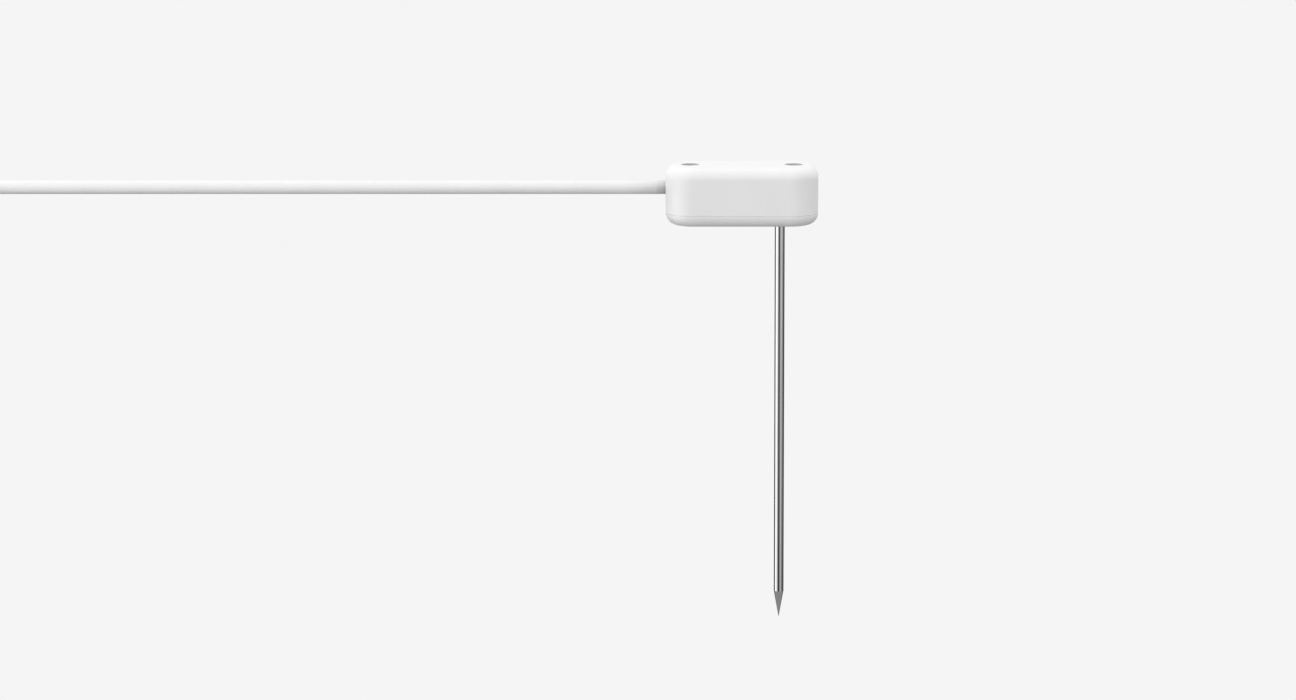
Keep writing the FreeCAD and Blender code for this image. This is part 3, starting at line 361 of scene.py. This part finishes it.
# Painted shade: the cross recess in each top screw's head is coloured near black.
for screw_axis in SCREW_AXES:
    in_recess = within(head_screw_steel, screw_axis, RECESS_RADIUS)
    in_recess = below(head_screw_steel, in_recess, screws_high.z - RECESS_START)
    marked(head_screw_steel, in_recess, RECESS_PAINTED_SHADE)
dress(head_screw_steel, "housing_screws")

# ---------------------------------------------------------------------------------------
# Grommet and the lead's tail
# A soft white grommet fills the hole in the head's end wall. The jacket ends just inside,
# and three cores go on to the terminal.

GROMMET_WHITE = (0.76, 0.76, 0.76)
grommet_rubber = finish("grommet_rubber", GROMMET_WHITE, roughness=0.55)
gloss(grommet_rubber, mottle(grommet_rubber, size=0.7 * MM), smooth=0.48, rough=0.62)
relief(grommet_rubber, mottle(grommet_rubber, size=0.15 * MM), height=0.004 * MM)
dress(grommet_rubber, "cable_grommet")

JACKET_WHITE = (0.86, 0.86, 0.86)
JACKET_SHADE = (0.83, 0.83, 0.828)
jacket = finish("lead_jacket", JACKET_WHITE, roughness=0.42)
tone(jacket, mottle(jacket, size=14 * MM), JACKET_SHADE, JACKET_WHITE)
gloss(jacket, mottle(jacket, size=0.9 * MM), smooth=0.37, rough=0.48)
relief(jacket, mottle(jacket, size=0.18 * MM), height=0.002 * MM)
dress(jacket, "cable_tail")

# ---------------------------------------------------------------------------------------
# Lead
# A round lead of 4.6 mm in smooth white PVC, with shade painted on it near the head. It
# leaves the head in a straight pull, and its spare length is wound into a flat hank of a
# little over four turns, three layers high, that lies in line with it.

LEAD = 4.6 * MM
LEAD_HEIGHT = 11.9 * MM
PLUG_HEIGHT = 4.8 * MM
LAYER_COUNT = 3
INNER_LANE = 14.4 * MM
OUTER_LANE = INNER_LANE + LEAD
head_low, head_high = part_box("upper_housing")
hank_low, hank_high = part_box("cable_hank")
lead_exit = Vector((head_low.x, 0, LEAD_HEIGHT))
HANK_RIGHT = hank_high.x - OUTER_LANE - LEAD / 2
HANK_LEFT = hank_low.x + OUTER_LANE + LEAD / 2
LAYERS = [hank_low.z + LEAD * (layer + 0.5) for layer in range(LAYER_COUNT)]
BEND_CORNERS = 6
RUN_STEPS = (8 * MM, 28 * MM, 48 * MM, 68 * MM, 88 * MM)
TAKEN_BY_LEAD_IN = 3
DROP_SHARES = (0, 0.1, 0.35, 0.65, 0.9, 1)
LEAD_ROUTE = [
    lead_exit,
    Vector((-0.2434, 0, LAYERS[2])),
    Vector((-0.279, 0, LAYERS[2])),
    Vector((-0.309, -OUTER_LANE, LAYERS[2])),
    Vector((-0.335, -OUTER_LANE, LAYERS[2])),
]
END_ROUTE = [
    Vector((-0.287, -INNER_LANE, LAYERS[1])),
    Vector((-0.303, -INNER_LANE, LAYERS[1])),
    Vector((-0.328, 0, PLUG_HEIGHT)),
    Vector((-0.345, 0, PLUG_HEIGHT)),
]


def hank_bend(centre, start, lane, heights):
    """Corners of the half turn round one end of the hank, clockwise as seen from above."""
    step = math.pi / BEND_CORNERS
    reach = lane / math.cos(step / 2)
    for corner, height in enumerate(heights):
        angle = start - (corner + 0.5) * step
        yield Vector((centre + reach * math.cos(angle), reach * math.sin(angle), height))


def hank_turns():
    """Four turns: down from the top layer to the bottom one, inwards, and up a layer."""
    bottom, middle, top = LAYERS
    drop = [middle + (bottom - middle) * share for share in DROP_SHARES]
    run = len(RUN_STEPS)
    bend = BEND_CORNERS
    # For each turn, the heights of its near run, left bend and far run, and then its lane,
    # which it reaches at the near run's last corner.
    turns = (
        ([top] * run, [top] * bend, [top] + [middle] * (run - 1), OUTER_LANE),
        ([middle] * run, drop, [bottom] * run, OUTER_LANE),
        ([bottom] * run, [bottom] * bend, [bottom] * run, INNER_LANE),
        ([bottom] * 2 + [middle] * (run - 2), [middle] * bend, [middle] * run, INNER_LANE),
    )
    lane_before = OUTER_LANE
    for turn, (near_run, left_bend, far_run, lane) in enumerate(turns):
        for step in range(TAKEN_BY_LEAD_IN if turn == 0 else 0, run):
            near_lane = lane if step == run - 1 else lane_before
            yield Vector((HANK_RIGHT - RUN_STEPS[step], -near_lane, near_run[step]))
        yield from hank_bend(HANK_LEFT, -math.pi / 2, lane, left_bend)
        for along, height in zip(RUN_STEPS, far_run):
            yield Vector((HANK_LEFT + along, lane, height))
        right_bend = bend - 1 if turn == len(turns) - 1 else bend
        yield from hank_bend(HANK_RIGHT, math.pi / 2, lane, [far_run[-1]] * right_bend)
        lane_before = lane


EXIT_SHADE_REACH = 14
# Each step's place in millimetres from the exit, and the share of the colour left there.
EXIT_SHADE_STEPS = ((-10, 0.94), (-6, 0.85), (-3.2, 0.77), (-2.8, 0.68), (-1.2, 0.56), (0, 0.45))
EXIT_SHADE_ON_TOP = 0.35


def shade_at_exit(material, end):
    """Paints shade on the lead towards its exit, less on its top than on its sides."""
    tree = material.node_tree
    base = tree.nodes["Principled BSDF"].inputs["Base Color"]
    place = tree.nodes.new("ShaderNodeTexCoord")
    split = tree.nodes.new("ShaderNodeSeparateXYZ")
    near = tree.nodes.new("ShaderNodeMapRange")
    near.inputs["From Min"].default_value = end.x - EXIT_SHADE_REACH * MM
    near.inputs["From Max"].default_value = end.x
    shade = tree.nodes.new("ShaderNodeValToRGB")
    stops = shade.color_ramp.elements
    last_share = EXIT_SHADE_STEPS[-1][1]
    stops[0].color = (1, 1, 1, 1)
    stops[1].color = (last_share, last_share, last_share, 1)
    for away, share in EXIT_SHADE_STEPS[:-1]:
        stop = stops.new(1 + away / EXIT_SHADE_REACH)
        stop.color = (share, share, share, 1)
    under = tree.nodes.new("ShaderNodeMapRange")
    under.inputs["From Min"].default_value = end.z + LEAD / 2
    under.inputs["From Max"].default_value = end.z
    under.inputs["To Min"].default_value = EXIT_SHADE_ON_TOP
    both = tree.nodes.new("ShaderNodeMix")
    both.data_type = "RGBA"
    both.blend_type = "MULTIPLY"
    tree.links.new(place.outputs["Object"], split.inputs[0])
    tree.links.new(split.outputs["X"], near.inputs["Value"])
    tree.links.new(near.outputs["Result"], shade.inputs["Fac"])
    tree.links.new(split.outputs["Z"], under.inputs["Value"])
    tree.links.new(under.outputs["Result"], both.inputs[MIX_SHARE])
    tree.links.new(base.links[0].from_socket, both.inputs[MIX_UNDER])
    tree.links.new(shade.outputs["Color"], both.inputs[MIX_OVER])
    tree.links.new(both.outputs[MIX_RESULT], base)


# Painted shade: the lead's colour darkens towards the head, where the head would shade it.
shade_at_exit(jacket, lead_exit)
lead_curve = bpy.data.curves.new("lead", "CURVE")
lead_curve.dimensions = "3D"
lead_curve.bevel_depth = LEAD / 2
lead_curve.bevel_resolution = 10
lead_curve.use_fill_caps = True
lead_points = LEAD_ROUTE + list(hank_turns()) + END_ROUTE
lead_line = lead_curve.splines.new("NURBS")
lead_line.points.add(len(lead_points) - 1)
for point, place in zip(lead_line.points, lead_points):
    point.co = (*place, 1)
lead_line.order_u = 3
lead_line.use_endpoint_u = True
lead_line.resolution_u = 10
lead_curve.materials.append(jacket)
lead = bpy.data.objects.new("lead", lead_curve)
scene = bpy.context.scene
scene.collection.objects.link(lead)
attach(lead, "probe")
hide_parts("cable", "cable_hank", "cable_end")

# ---------------------------------------------------------------------------------------
# Hank strap
# A strip of black hook-and-loop tape pulled round the hank and lapped over itself on top.
# Its loop side is outside, brushed into a dull nap between two woven edges.

tie_low, tie_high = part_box("hank_tie")
TAPE = 0.42 * MM
TAPE_WIDTH = tie_high.x - tie_low.x
TAPE_MIDDLE = (tie_high.x + tie_low.x) / 2
TAPE_GAP = 0.05 * MM
LAP_START = 6 * MM
LAP_END = -11 * MM
LAP_RAMP = 5 * MM
LAP_CURL = 0.35 * MM
CURL_START = 0.7
CURL_SHARE = 0.3
TUCK_STEP = 2 * MM
TUCK_STEPS = 12
CORNER_STEPS = 8
RAMP_STEPS = 6
LAP_STEPS = 12
FAR_STRAND_RISE = 0.25 * MM
CORNER_STRANDS = [
    Vector((-OUTER_LANE, LAYERS[0])),
    Vector((OUTER_LANE, LAYERS[0])),
    Vector((OUTER_LANE, LAYERS[1] + FAR_STRAND_RISE)),
    Vector((-OUTER_LANE, LAYERS[2])),
]


def tape_corners():
    """The tape round each corner strand: places in the YZ plane, with their way outwards."""
    outward = []
    for here, there in zip(CORNER_STRANDS, CORNER_STRANDS[1:] + CORNER_STRANDS[:1]):
        along = (there - here).normalized()
        outward.append(math.atan2(-along.x, along.y))
    for corner, centre in enumerate(CORNER_STRANDS):
        first = outward[corner - 1]
        turn = (outward[corner] - first) % (2 * math.pi)
        stations = []
        for step in range(CORNER_STEPS + 1):
            angle = first + turn * step / CORNER_STEPS
            away = Vector((math.cos(angle), math.sin(angle)))
            stations.append((centre + away * (LEAD / 2 + TAPE_GAP), away))
        yield stations


def straight(start, end, count):
    """Evenly spaced stations between two stations, without the ends."""
    for step in range(1, count):
        share = step / count
        yield start[0].lerp(end[0], share), start[1].lerp(end[1], share).normalized()


def tape_stations():
    """The tape from its hidden inner end, once round, and over the lap to its free end."""
    near_low, far_low, far_top, near_top = tape_corners()
    top_start, top_away = far_top[-1]
    top_end = near_top[0][0]
    slope = (top_end - top_start) / (top_end.x - top_start.x)

    def on_top(across, lift):
        place = top_start + slope * (across - top_start.x)
        return place + top_away * lift, top_away

    stations = [on_top(LAP_START - TUCK_STEP * step, 0) for step in range(TUCK_STEPS + 1)]
    stations += near_top
    stations += straight(near_top[-1], near_low[0], count=4)
    stations += near_low
    stations += straight(near_low[-1], far_low[0], count=12)
    stations += far_low
    stations += straight(far_low[-1], far_top[0], count=3)
    stations += far_top
    lapped = TAPE + TAPE_GAP
    ramp_start = LAP_START + LAP_RAMP
    for step in range(1, RAMP_STEPS + 1):
        share = step / RAMP_STEPS
        eased = share * share * (3 - 2 * share)
        stations.append(on_top(ramp_start - LAP_RAMP * share, lapped * eased))
    for step in range(1, LAP_STEPS + 1):
        share = step / LAP_STEPS
        curl = LAP_CURL * max(0, share - CURL_START) / CURL_SHARE
        stations.append(on_top(LAP_START + (LAP_END - LAP_START) * share, lapped + curl))
    return stations


EDGE = 0.5 * MM
EDGE_PROUD = 0.04 * MM
EDGE_SLOPE = 0.06 * MM
TAPE_CHAMFER = 0.08 * MM
END_TAPER = (0.80, 0.93, 0.98)
half = TAPE_WIDTH / 2
crown = TAPE - EDGE_PROUD
tape_section = [
    (-half, TAPE_CHAMFER),
    (-half + TAPE_CHAMFER, 0),
    (0, 0),
    (half - TAPE_CHAMFER, 0),
    (half, TAPE_CHAMFER),
    (half, TAPE - TAPE_CHAMFER),
    (half - TAPE_CHAMFER, TAPE),
    (half - EDGE, TAPE),
    (half - EDGE - EDGE_SLOPE, crown),
    (half / 2, crown),
    (0, crown),
    (-half / 2, crown),
    (-half + EDGE + EDGE_SLOPE, crown),
    (-half + EDGE, TAPE),
    (-half + TAPE_CHAMFER, TAPE),
    (-half, TAPE - TAPE_CHAMFER),
]
tape_mesh = bmesh.new()
tape_uv = tape_mesh.loops.layers.uv.new("tape")
stations = tape_stations()
rows = []
runs = [0.0]
for index, (place, away) in enumerate(stations):
    if index:
        runs.append(runs[-1] + (place - stations[index - 1][0]).length)
    from_end = min(index, len(stations) - 1 - index)
    narrow = END_TAPER[from_end] if from_end < len(END_TAPER) else 1.0
    row = []
    for across, out in tape_section:
        spot = place + away * out
        row.append(tape_mesh.verts.new((TAPE_MIDDLE + across * narrow, spot.x, spot.y)))
    rows.append(row)
around = len(tape_section)
for index in range(len(rows) - 1):
    for side in range(around):
        after = (side + 1) % around
        corners = ((index, side), (index, after), (index + 1, after), (index + 1, side))
        face = tape_mesh.faces.new([rows[row][spot] for row, spot in corners])
        face.smooth = True
        for loop, (row, spot) in zip(face.loops, corners):
            loop[tape_uv].uv = (runs[row], tape_section[spot][0])
tape_mesh.faces.new(rows[0][::-1])
tape_mesh.faces.new(rows[-1])
bmesh.ops.recalc_face_normals(tape_mesh, faces=tape_mesh.faces)
strap_mesh = bpy.data.meshes.new("hank_strap")
tape_mesh.to_mesh(strap_mesh)
tape_mesh.free()
hank_strap = bpy.data.objects.new("hank_strap", strap_mesh)
scene.collection.objects.link(hank_strap)

NAP_BLACK = (0.018, 0.018, 0.019)
NAP_GREY = (0.045, 0.045, 0.047)
nap = finish("strap_nap", NAP_BLACK, roughness=0.9)
nap_shader = nap.node_tree.nodes["Principled BSDF"]
nap_shader.inputs["Sheen Weight"].default_value = 0.25
nap_shader.inputs["Sheen Roughness"].default_value = 0.5
fibres = mottle(nap, size=0.16 * MM, depth=6)
tone(nap, fibres, NAP_BLACK, NAP_GREY)
relief(nap, fibres, height=0.08 * MM)
relief(nap, bands(nap, pitch=0.45 * MM, along="X", uv_map="tape"), height=0.05 * MM)
strap_mesh.materials.append(nap)
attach(hank_strap, "probe")
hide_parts("hank_tie")

# ---------------------------------------------------------------------------------------
# Plug
# A white moulded body and strain relief on the lead, a black insert with three gold pins,
# and a nickel-plated ring with fine flutes that turns on the neck.

PLUG_WHITE = (0.82, 0.82, 0.81)
PLUG_SHADE = (0.78, 0.78, 0.77)
plug_plastic = finish("plug_plastic", PLUG_WHITE, roughness=0.45)
tone(plug_plastic, mottle(plug_plastic, size=5 * MM), PLUG_SHADE, PLUG_WHITE)
gloss(plug_plastic, mottle(plug_plastic, size=0.8 * MM), smooth=0.38, rough=0.52)
relief(plug_plastic, mottle(plug_plastic, size=0.14 * MM), height=0.005 * MM)
dress(plug_plastic, "plug_strain_relief", "plug_body")

NICKEL = (0.66, 0.64, 0.60)
NICKEL_SHADE = (0.58, 0.56, 0.52)
nickel = finish("ring_nickel", NICKEL, roughness=0.2, metallic=1.0)
tone(nickel, mottle(nickel, size=1.5 * MM), NICKEL_SHADE, NICKEL)
gloss(nickel, mottle(nickel, size=0.3 * MM), smooth=0.14, rough=0.27)
relief(nickel, mottle(nickel, size=0.05 * MM, stretch=(1, 30, 30)), height=0.0006 * MM)
dress(nickel, "plug_coupling_ring")

INSERT_BLACK = (0.03, 0.03, 0.032)
insert_nylon = finish("insert_nylon", INSERT_BLACK, roughness=0.42)
gloss(insert_nylon, mottle(insert_nylon, size=0.5 * MM), smooth=0.34, rough=0.5)
relief(insert_nylon, mottle(insert_nylon, size=0.1 * MM), height=0.004 * MM)
dress(insert_nylon, "plug_insert")

GOLD = (0.90, 0.66, 0.28)
GOLD_SHADE = (0.80, 0.56, 0.22)
gold = finish("pin_gold", GOLD, roughness=0.18, metallic=1.0)
tone(gold, mottle(gold, size=0.5 * MM), GOLD_SHADE, GOLD)
gloss(gold, mottle(gold, size=0.2 * MM), smooth=0.13, rough=0.24)
dress(gold, "plug_pins")

# ---------------------------------------------------------------------------------------
# Floor and backdrop
# One plain pale floor well below the needle's point, that runs into a backdrop of the same
# pale grey. Both show that grey to the camera and in metal, whatever light falls on them.

BACKDROP = (0.913, 0.913, 0.913)
FLOOR_GREY = (0.28, 0.28, 0.28)
FLOOR_Z = -0.42
FLOOR_SIZE = 12
SKY_LIGHT = 1.1


def shown_or_lit(tree, shown, lit):
    """The first shader for rays from the camera, metal and glass, and the second for light."""
    rays = tree.nodes.new("ShaderNodeLightPath")
    camera_or_metal = tree.nodes.new("ShaderNodeMath")
    camera_or_metal.operation = "MAXIMUM"
    direct = tree.nodes.new("ShaderNodeMath")
    direct.operation = "MAXIMUM"
    pick = tree.nodes.new("ShaderNodeMixShader")
    tree.links.new(rays.outputs["Is Camera Ray"], camera_or_metal.inputs[0])
    tree.links.new(rays.outputs["Is Glossy Ray"], camera_or_metal.inputs[1])
    tree.links.new(camera_or_metal.outputs[0], direct.inputs[0])
    tree.links.new(rays.outputs["Is Transmission Ray"], direct.inputs[1])
    tree.links.new(direct.outputs[0], pick.inputs[0])
    tree.links.new(lit.outputs[0], pick.inputs[1])
    tree.links.new(shown.outputs[0], pick.inputs[2])
    return pick.outputs[0]


world = bpy.data.worlds.new("studio")
scene.world = world
world.use_nodes = True
air = world.node_tree
air.nodes.clear()
sky_shown = air.nodes.new("ShaderNodeBackground")
sky_shown.inputs["Color"].default_value = (*BACKDROP, 1)
sky_lit = air.nodes.new("ShaderNodeBackground")
sky_lit.inputs["Color"].default_value = (1, 1, 1, 1)
sky_lit.inputs["Strength"].default_value = SKY_LIGHT
sky_out = air.nodes.new("ShaderNodeOutputWorld")
air.links.new(shown_or_lit(air, sky_shown, sky_lit), sky_out.inputs["Surface"])


def sheet(name, width, depth):
    """A flat sheet about its own origin, facing up."""
    mesh = bpy.data.meshes.new(name)
    x, y = width / 2, depth / 2
    mesh.from_pydata([(-x, -y, 0), (x, -y, 0), (x, y, 0), (-x, y, 0)], [], [(0, 1, 2, 3)])
    piece = bpy.data.objects.new(name, mesh)
    scene.collection.objects.link(piece)
    return piece


def bare(name):
    """A material with an empty tree, for a section that builds its own shader."""
    material = bpy.data.materials.new(name)
    material.use_nodes = True
    material.node_tree.nodes.clear()
    return material


floor = sheet("floor", FLOOR_SIZE, FLOOR_SIZE)
floor.location.z = FLOOR_Z
floor_paint = bare("floor_paint")
floor_tree = floor_paint.node_tree
floor_shown = floor_tree.nodes.new("ShaderNodeEmission")
floor_shown.inputs["Color"].default_value = (*BACKDROP, 1)
floor_lit = floor_tree.nodes.new("ShaderNodeBsdfDiffuse")
floor_lit.inputs["Color"].default_value = (*FLOOR_GREY, 1)
floor_out = floor_tree.nodes.new("ShaderNodeOutputMaterial")
floor_tree.links.new(
    shown_or_lit(floor_tree, floor_shown, floor_lit), floor_out.inputs["Surface"]
)
floor.data.materials.append(floor_paint)

# ---------------------------------------------------------------------------------------
# Reflector tent
# A round wall of white, grey and black card on a grey base, which stands round the probe
# for its metal to mirror. The card is out of the camera's sight and casts no light or shadow.

TENT_RADIUS = 0.50
TENT_LOW = -0.40
TENT_HIGH = -0.05
BASE_SHADE = 0.33
FADE_TOP = -0.08
FADE_FOOT = -0.30
CARD_WHITE = 1.5
# Each card's place at the wall's top, its place at the foot, and its shade. A place is a turn
# about the probe in degrees: 0 is on the viewer's side, and 90 on the right. The top's places
# change evenly into the foot's between the heights FADE_TOP and FADE_FOOT.
TENT_CARDS = (
    (-180, -180, 0.90),
    (-163, -163, 0.70),
    (-155, -155, 0.28),
    (-142, -148, 0.30),
    (-130, -140, 0.05),
    (-102, -100, 0.05),
    (-96, -92, 1.50),
    (-52, -62, 1.45),
    (-30, -36, 0.60),
    (-22, -10, 0.03),
    (-2, 14, 0.01),
    (5, 20, 0.42),
    (30, 30, 0.60),
    (50, 37, 0.78),
    (72, 50, 0.35),
    (96, 80, 0.20),
    (102, 130, 0.02),
    (134, 155, 0.02),
    (150, 165, 0.70),
    (166, 172, 0.85),
    (180, 180, 0.90),
)


def only_in_metal(piece):
    """Hides a card from every ray but those that metal and gloss send out."""
    piece.visible_camera = False
    piece.visible_diffuse = False
    piece.visible_transmission = False
    piece.visible_volume_scatter = False
    piece.visible_shadow = False


def card_shades(tree, turn, cards):
    """The wall's shade at each turn about the probe, fading evenly from card to card."""
    ramp = tree.nodes.new("ShaderNodeValToRGB")
    stops = ramp.color_ramp.elements
    while len(stops) > 1:
        stops.remove(stops[-1])
    for index, (degrees, shade) in enumerate(cards):
        share = (degrees + 180) / 360
        grey = shade / CARD_WHITE
        stop = stops[0] if index == 0 else stops.new(share)
        stop.position = share
        stop.color = (grey, grey, grey, 1)
    tree.links.new(turn, ramp.inputs["Fac"])
    return ramp.outputs["Color"]


wall_mesh = bmesh.new()
bmesh.ops.create_cone(
    wall_mesh, segments=96, radius1=TENT_RADIUS, radius2=TENT_RADIUS, depth=TENT_HIGH - TENT_LOW
)
bmesh.ops.translate(wall_mesh, verts=wall_mesh.verts, vec=(0, 0, (TENT_HIGH + TENT_LOW) / 2))
wall_data = bpy.data.meshes.new("tent_wall")
wall_mesh.to_mesh(wall_data)
wall_mesh.free()
tent_wall = bpy.data.objects.new("tent_wall", wall_data)
scene.collection.objects.link(tent_wall)
only_in_metal(tent_wall)
wall_card = bare("tent_wall_card")
wall_tree = wall_card.node_tree
top_cards = [(top, shade) for top, foot, shade in TENT_CARDS]
foot_cards = [(foot, shade) for top, foot, shade in TENT_CARDS]
wall_place = wall_tree.nodes.new("ShaderNodeTexCoord")
wall_turned = wall_tree.nodes.new("ShaderNodeMapping")
wall_turned.inputs["Rotation"].default_value = (0, 0, math.pi / 2)
wall_round = wall_tree.nodes.new("ShaderNodeTexGradient")
wall_round.gradient_type = "RADIAL"
wall_split = wall_tree.nodes.new("ShaderNodeSeparateXYZ")
wall_depth = wall_tree.nodes.new("ShaderNodeMapRange")
wall_depth.inputs["From Min"].default_value = FADE_TOP
wall_depth.inputs["From Max"].default_value = FADE_FOOT
wall_mix = wall_tree.nodes.new("ShaderNodeMix")
wall_mix.data_type = "RGBA"
wall_glow = wall_tree.nodes.new("ShaderNodeEmission")
wall_glow.inputs["Strength"].default_value = CARD_WHITE
wall_out = wall_tree.nodes.new("ShaderNodeOutputMaterial")
wall_tree.links.new(wall_place.outputs["Object"], wall_turned.inputs["Vector"])
wall_tree.links.new(wall_turned.outputs["Vector"], wall_round.inputs["Vector"])
wall_tree.links.new(wall_place.outputs["Object"], wall_split.inputs["Vector"])
wall_tree.links.new(wall_split.outputs["Z"], wall_depth.inputs["Value"])
wall_tree.links.new(wall_depth.outputs["Result"], wall_mix.inputs[MIX_SHARE])
for cards, socket in ((top_cards, MIX_UNDER), (foot_cards, MIX_OVER)):
    shades = card_shades(wall_tree, wall_round.outputs["Fac"], cards)
    wall_tree.links.new(shades, wall_mix.inputs[socket])
wall_tree.links.new(wall_mix.outputs[MIX_RESULT], wall_glow.inputs["Color"])
wall_tree.links.new(wall_glow.outputs[0], wall_out.inputs["Surface"])
wall_data.materials.append(wall_card)

tent_base = sheet("tent_base", 2 * TENT_RADIUS, 2 * TENT_RADIUS)
tent_base.location.z = TENT_LOW
only_in_metal(tent_base)
base_card = bare("tent_base_card")
base_tree = base_card.node_tree
base_glow = base_tree.nodes.new("ShaderNodeEmission")
base_glow.inputs["Color"].default_value = (BASE_SHADE, BASE_SHADE, BASE_SHADE, 1)
base_out = base_tree.nodes.new("ShaderNodeOutputMaterial")
base_tree.links.new(base_glow.outputs[0], base_out.inputs["Surface"])
tent_base.data.materials.append(base_card)

# ---------------------------------------------------------------------------------------
# Lamps
# Weak soft boxes that add to the sky's light: the strongest from the left, and two that only
# lift the top and the front a little.


def softbox(name, place, size, power):
    """A rectangular lamp of the given size and watts, turned towards the needle's root."""
    lamp_data = bpy.data.lights.new(name, "AREA")
    lamp_data.shape = "RECTANGLE"
    lamp_data.size, lamp_data.size_y = size
    lamp_data.energy = power
    lamp = bpy.data.objects.new(name, lamp_data)
    lamp.location = place
    towards = Vector((0, 0, 0)) - Vector(place)
    lamp.rotation_euler = towards.to_track_quat("-Z", "Y").to_euler()
    scene.collection.objects.link(lamp)


softbox("overhead_box", (-0.1, 0.45, 1.15), size=(1.2, 1.0), power=0.5)
softbox("left_box", (-1.0, -0.5, 0.0), size=(0.8, 1.0), power=3.4)
softbox("front_box", (-0.2, -1.4, 0.0), size=(1.2, 0.8), power=0.3)
scene.view_settings.view_transform = "Standard"

# ---------------------------------------------------------------------------------------
# Camera
# A long lens 0.8 m in front of the head, tipped 12 degrees down. It stands a little low, so
# that the needle has room, and its shift leaves room for the lead on the left.

CAMERA_TIP = math.radians(12)
CAMERA_REACH = 0.800
CAMERA_DROP = 0.0522
CAMERA_LENS = 66.67
CAMERA_SHIFT = -0.0725
camera_data = bpy.data.cameras.new("camera")
camera_data.sensor_width = 36
camera_data.lens = CAMERA_LENS
camera_data.shift_x = CAMERA_SHIFT
camera_data.clip_start = 0.01
camera = bpy.data.objects.new("camera", camera_data)
aim = Vector(((head_low.x + head_high.x) / 2, 0, head_high.z / 2))
sight = Vector((0, math.cos(CAMERA_TIP), -math.sin(CAMERA_TIP)))
upright = Vector((0, math.sin(CAMERA_TIP), math.cos(CAMERA_TIP)))
camera.location = aim - sight * CAMERA_REACH - upright * CAMERA_DROP
camera.rotation_euler = (math.pi / 2 - CAMERA_TIP, 0, 0)
scene.collection.objects.link(camera)
scene.camera = camera
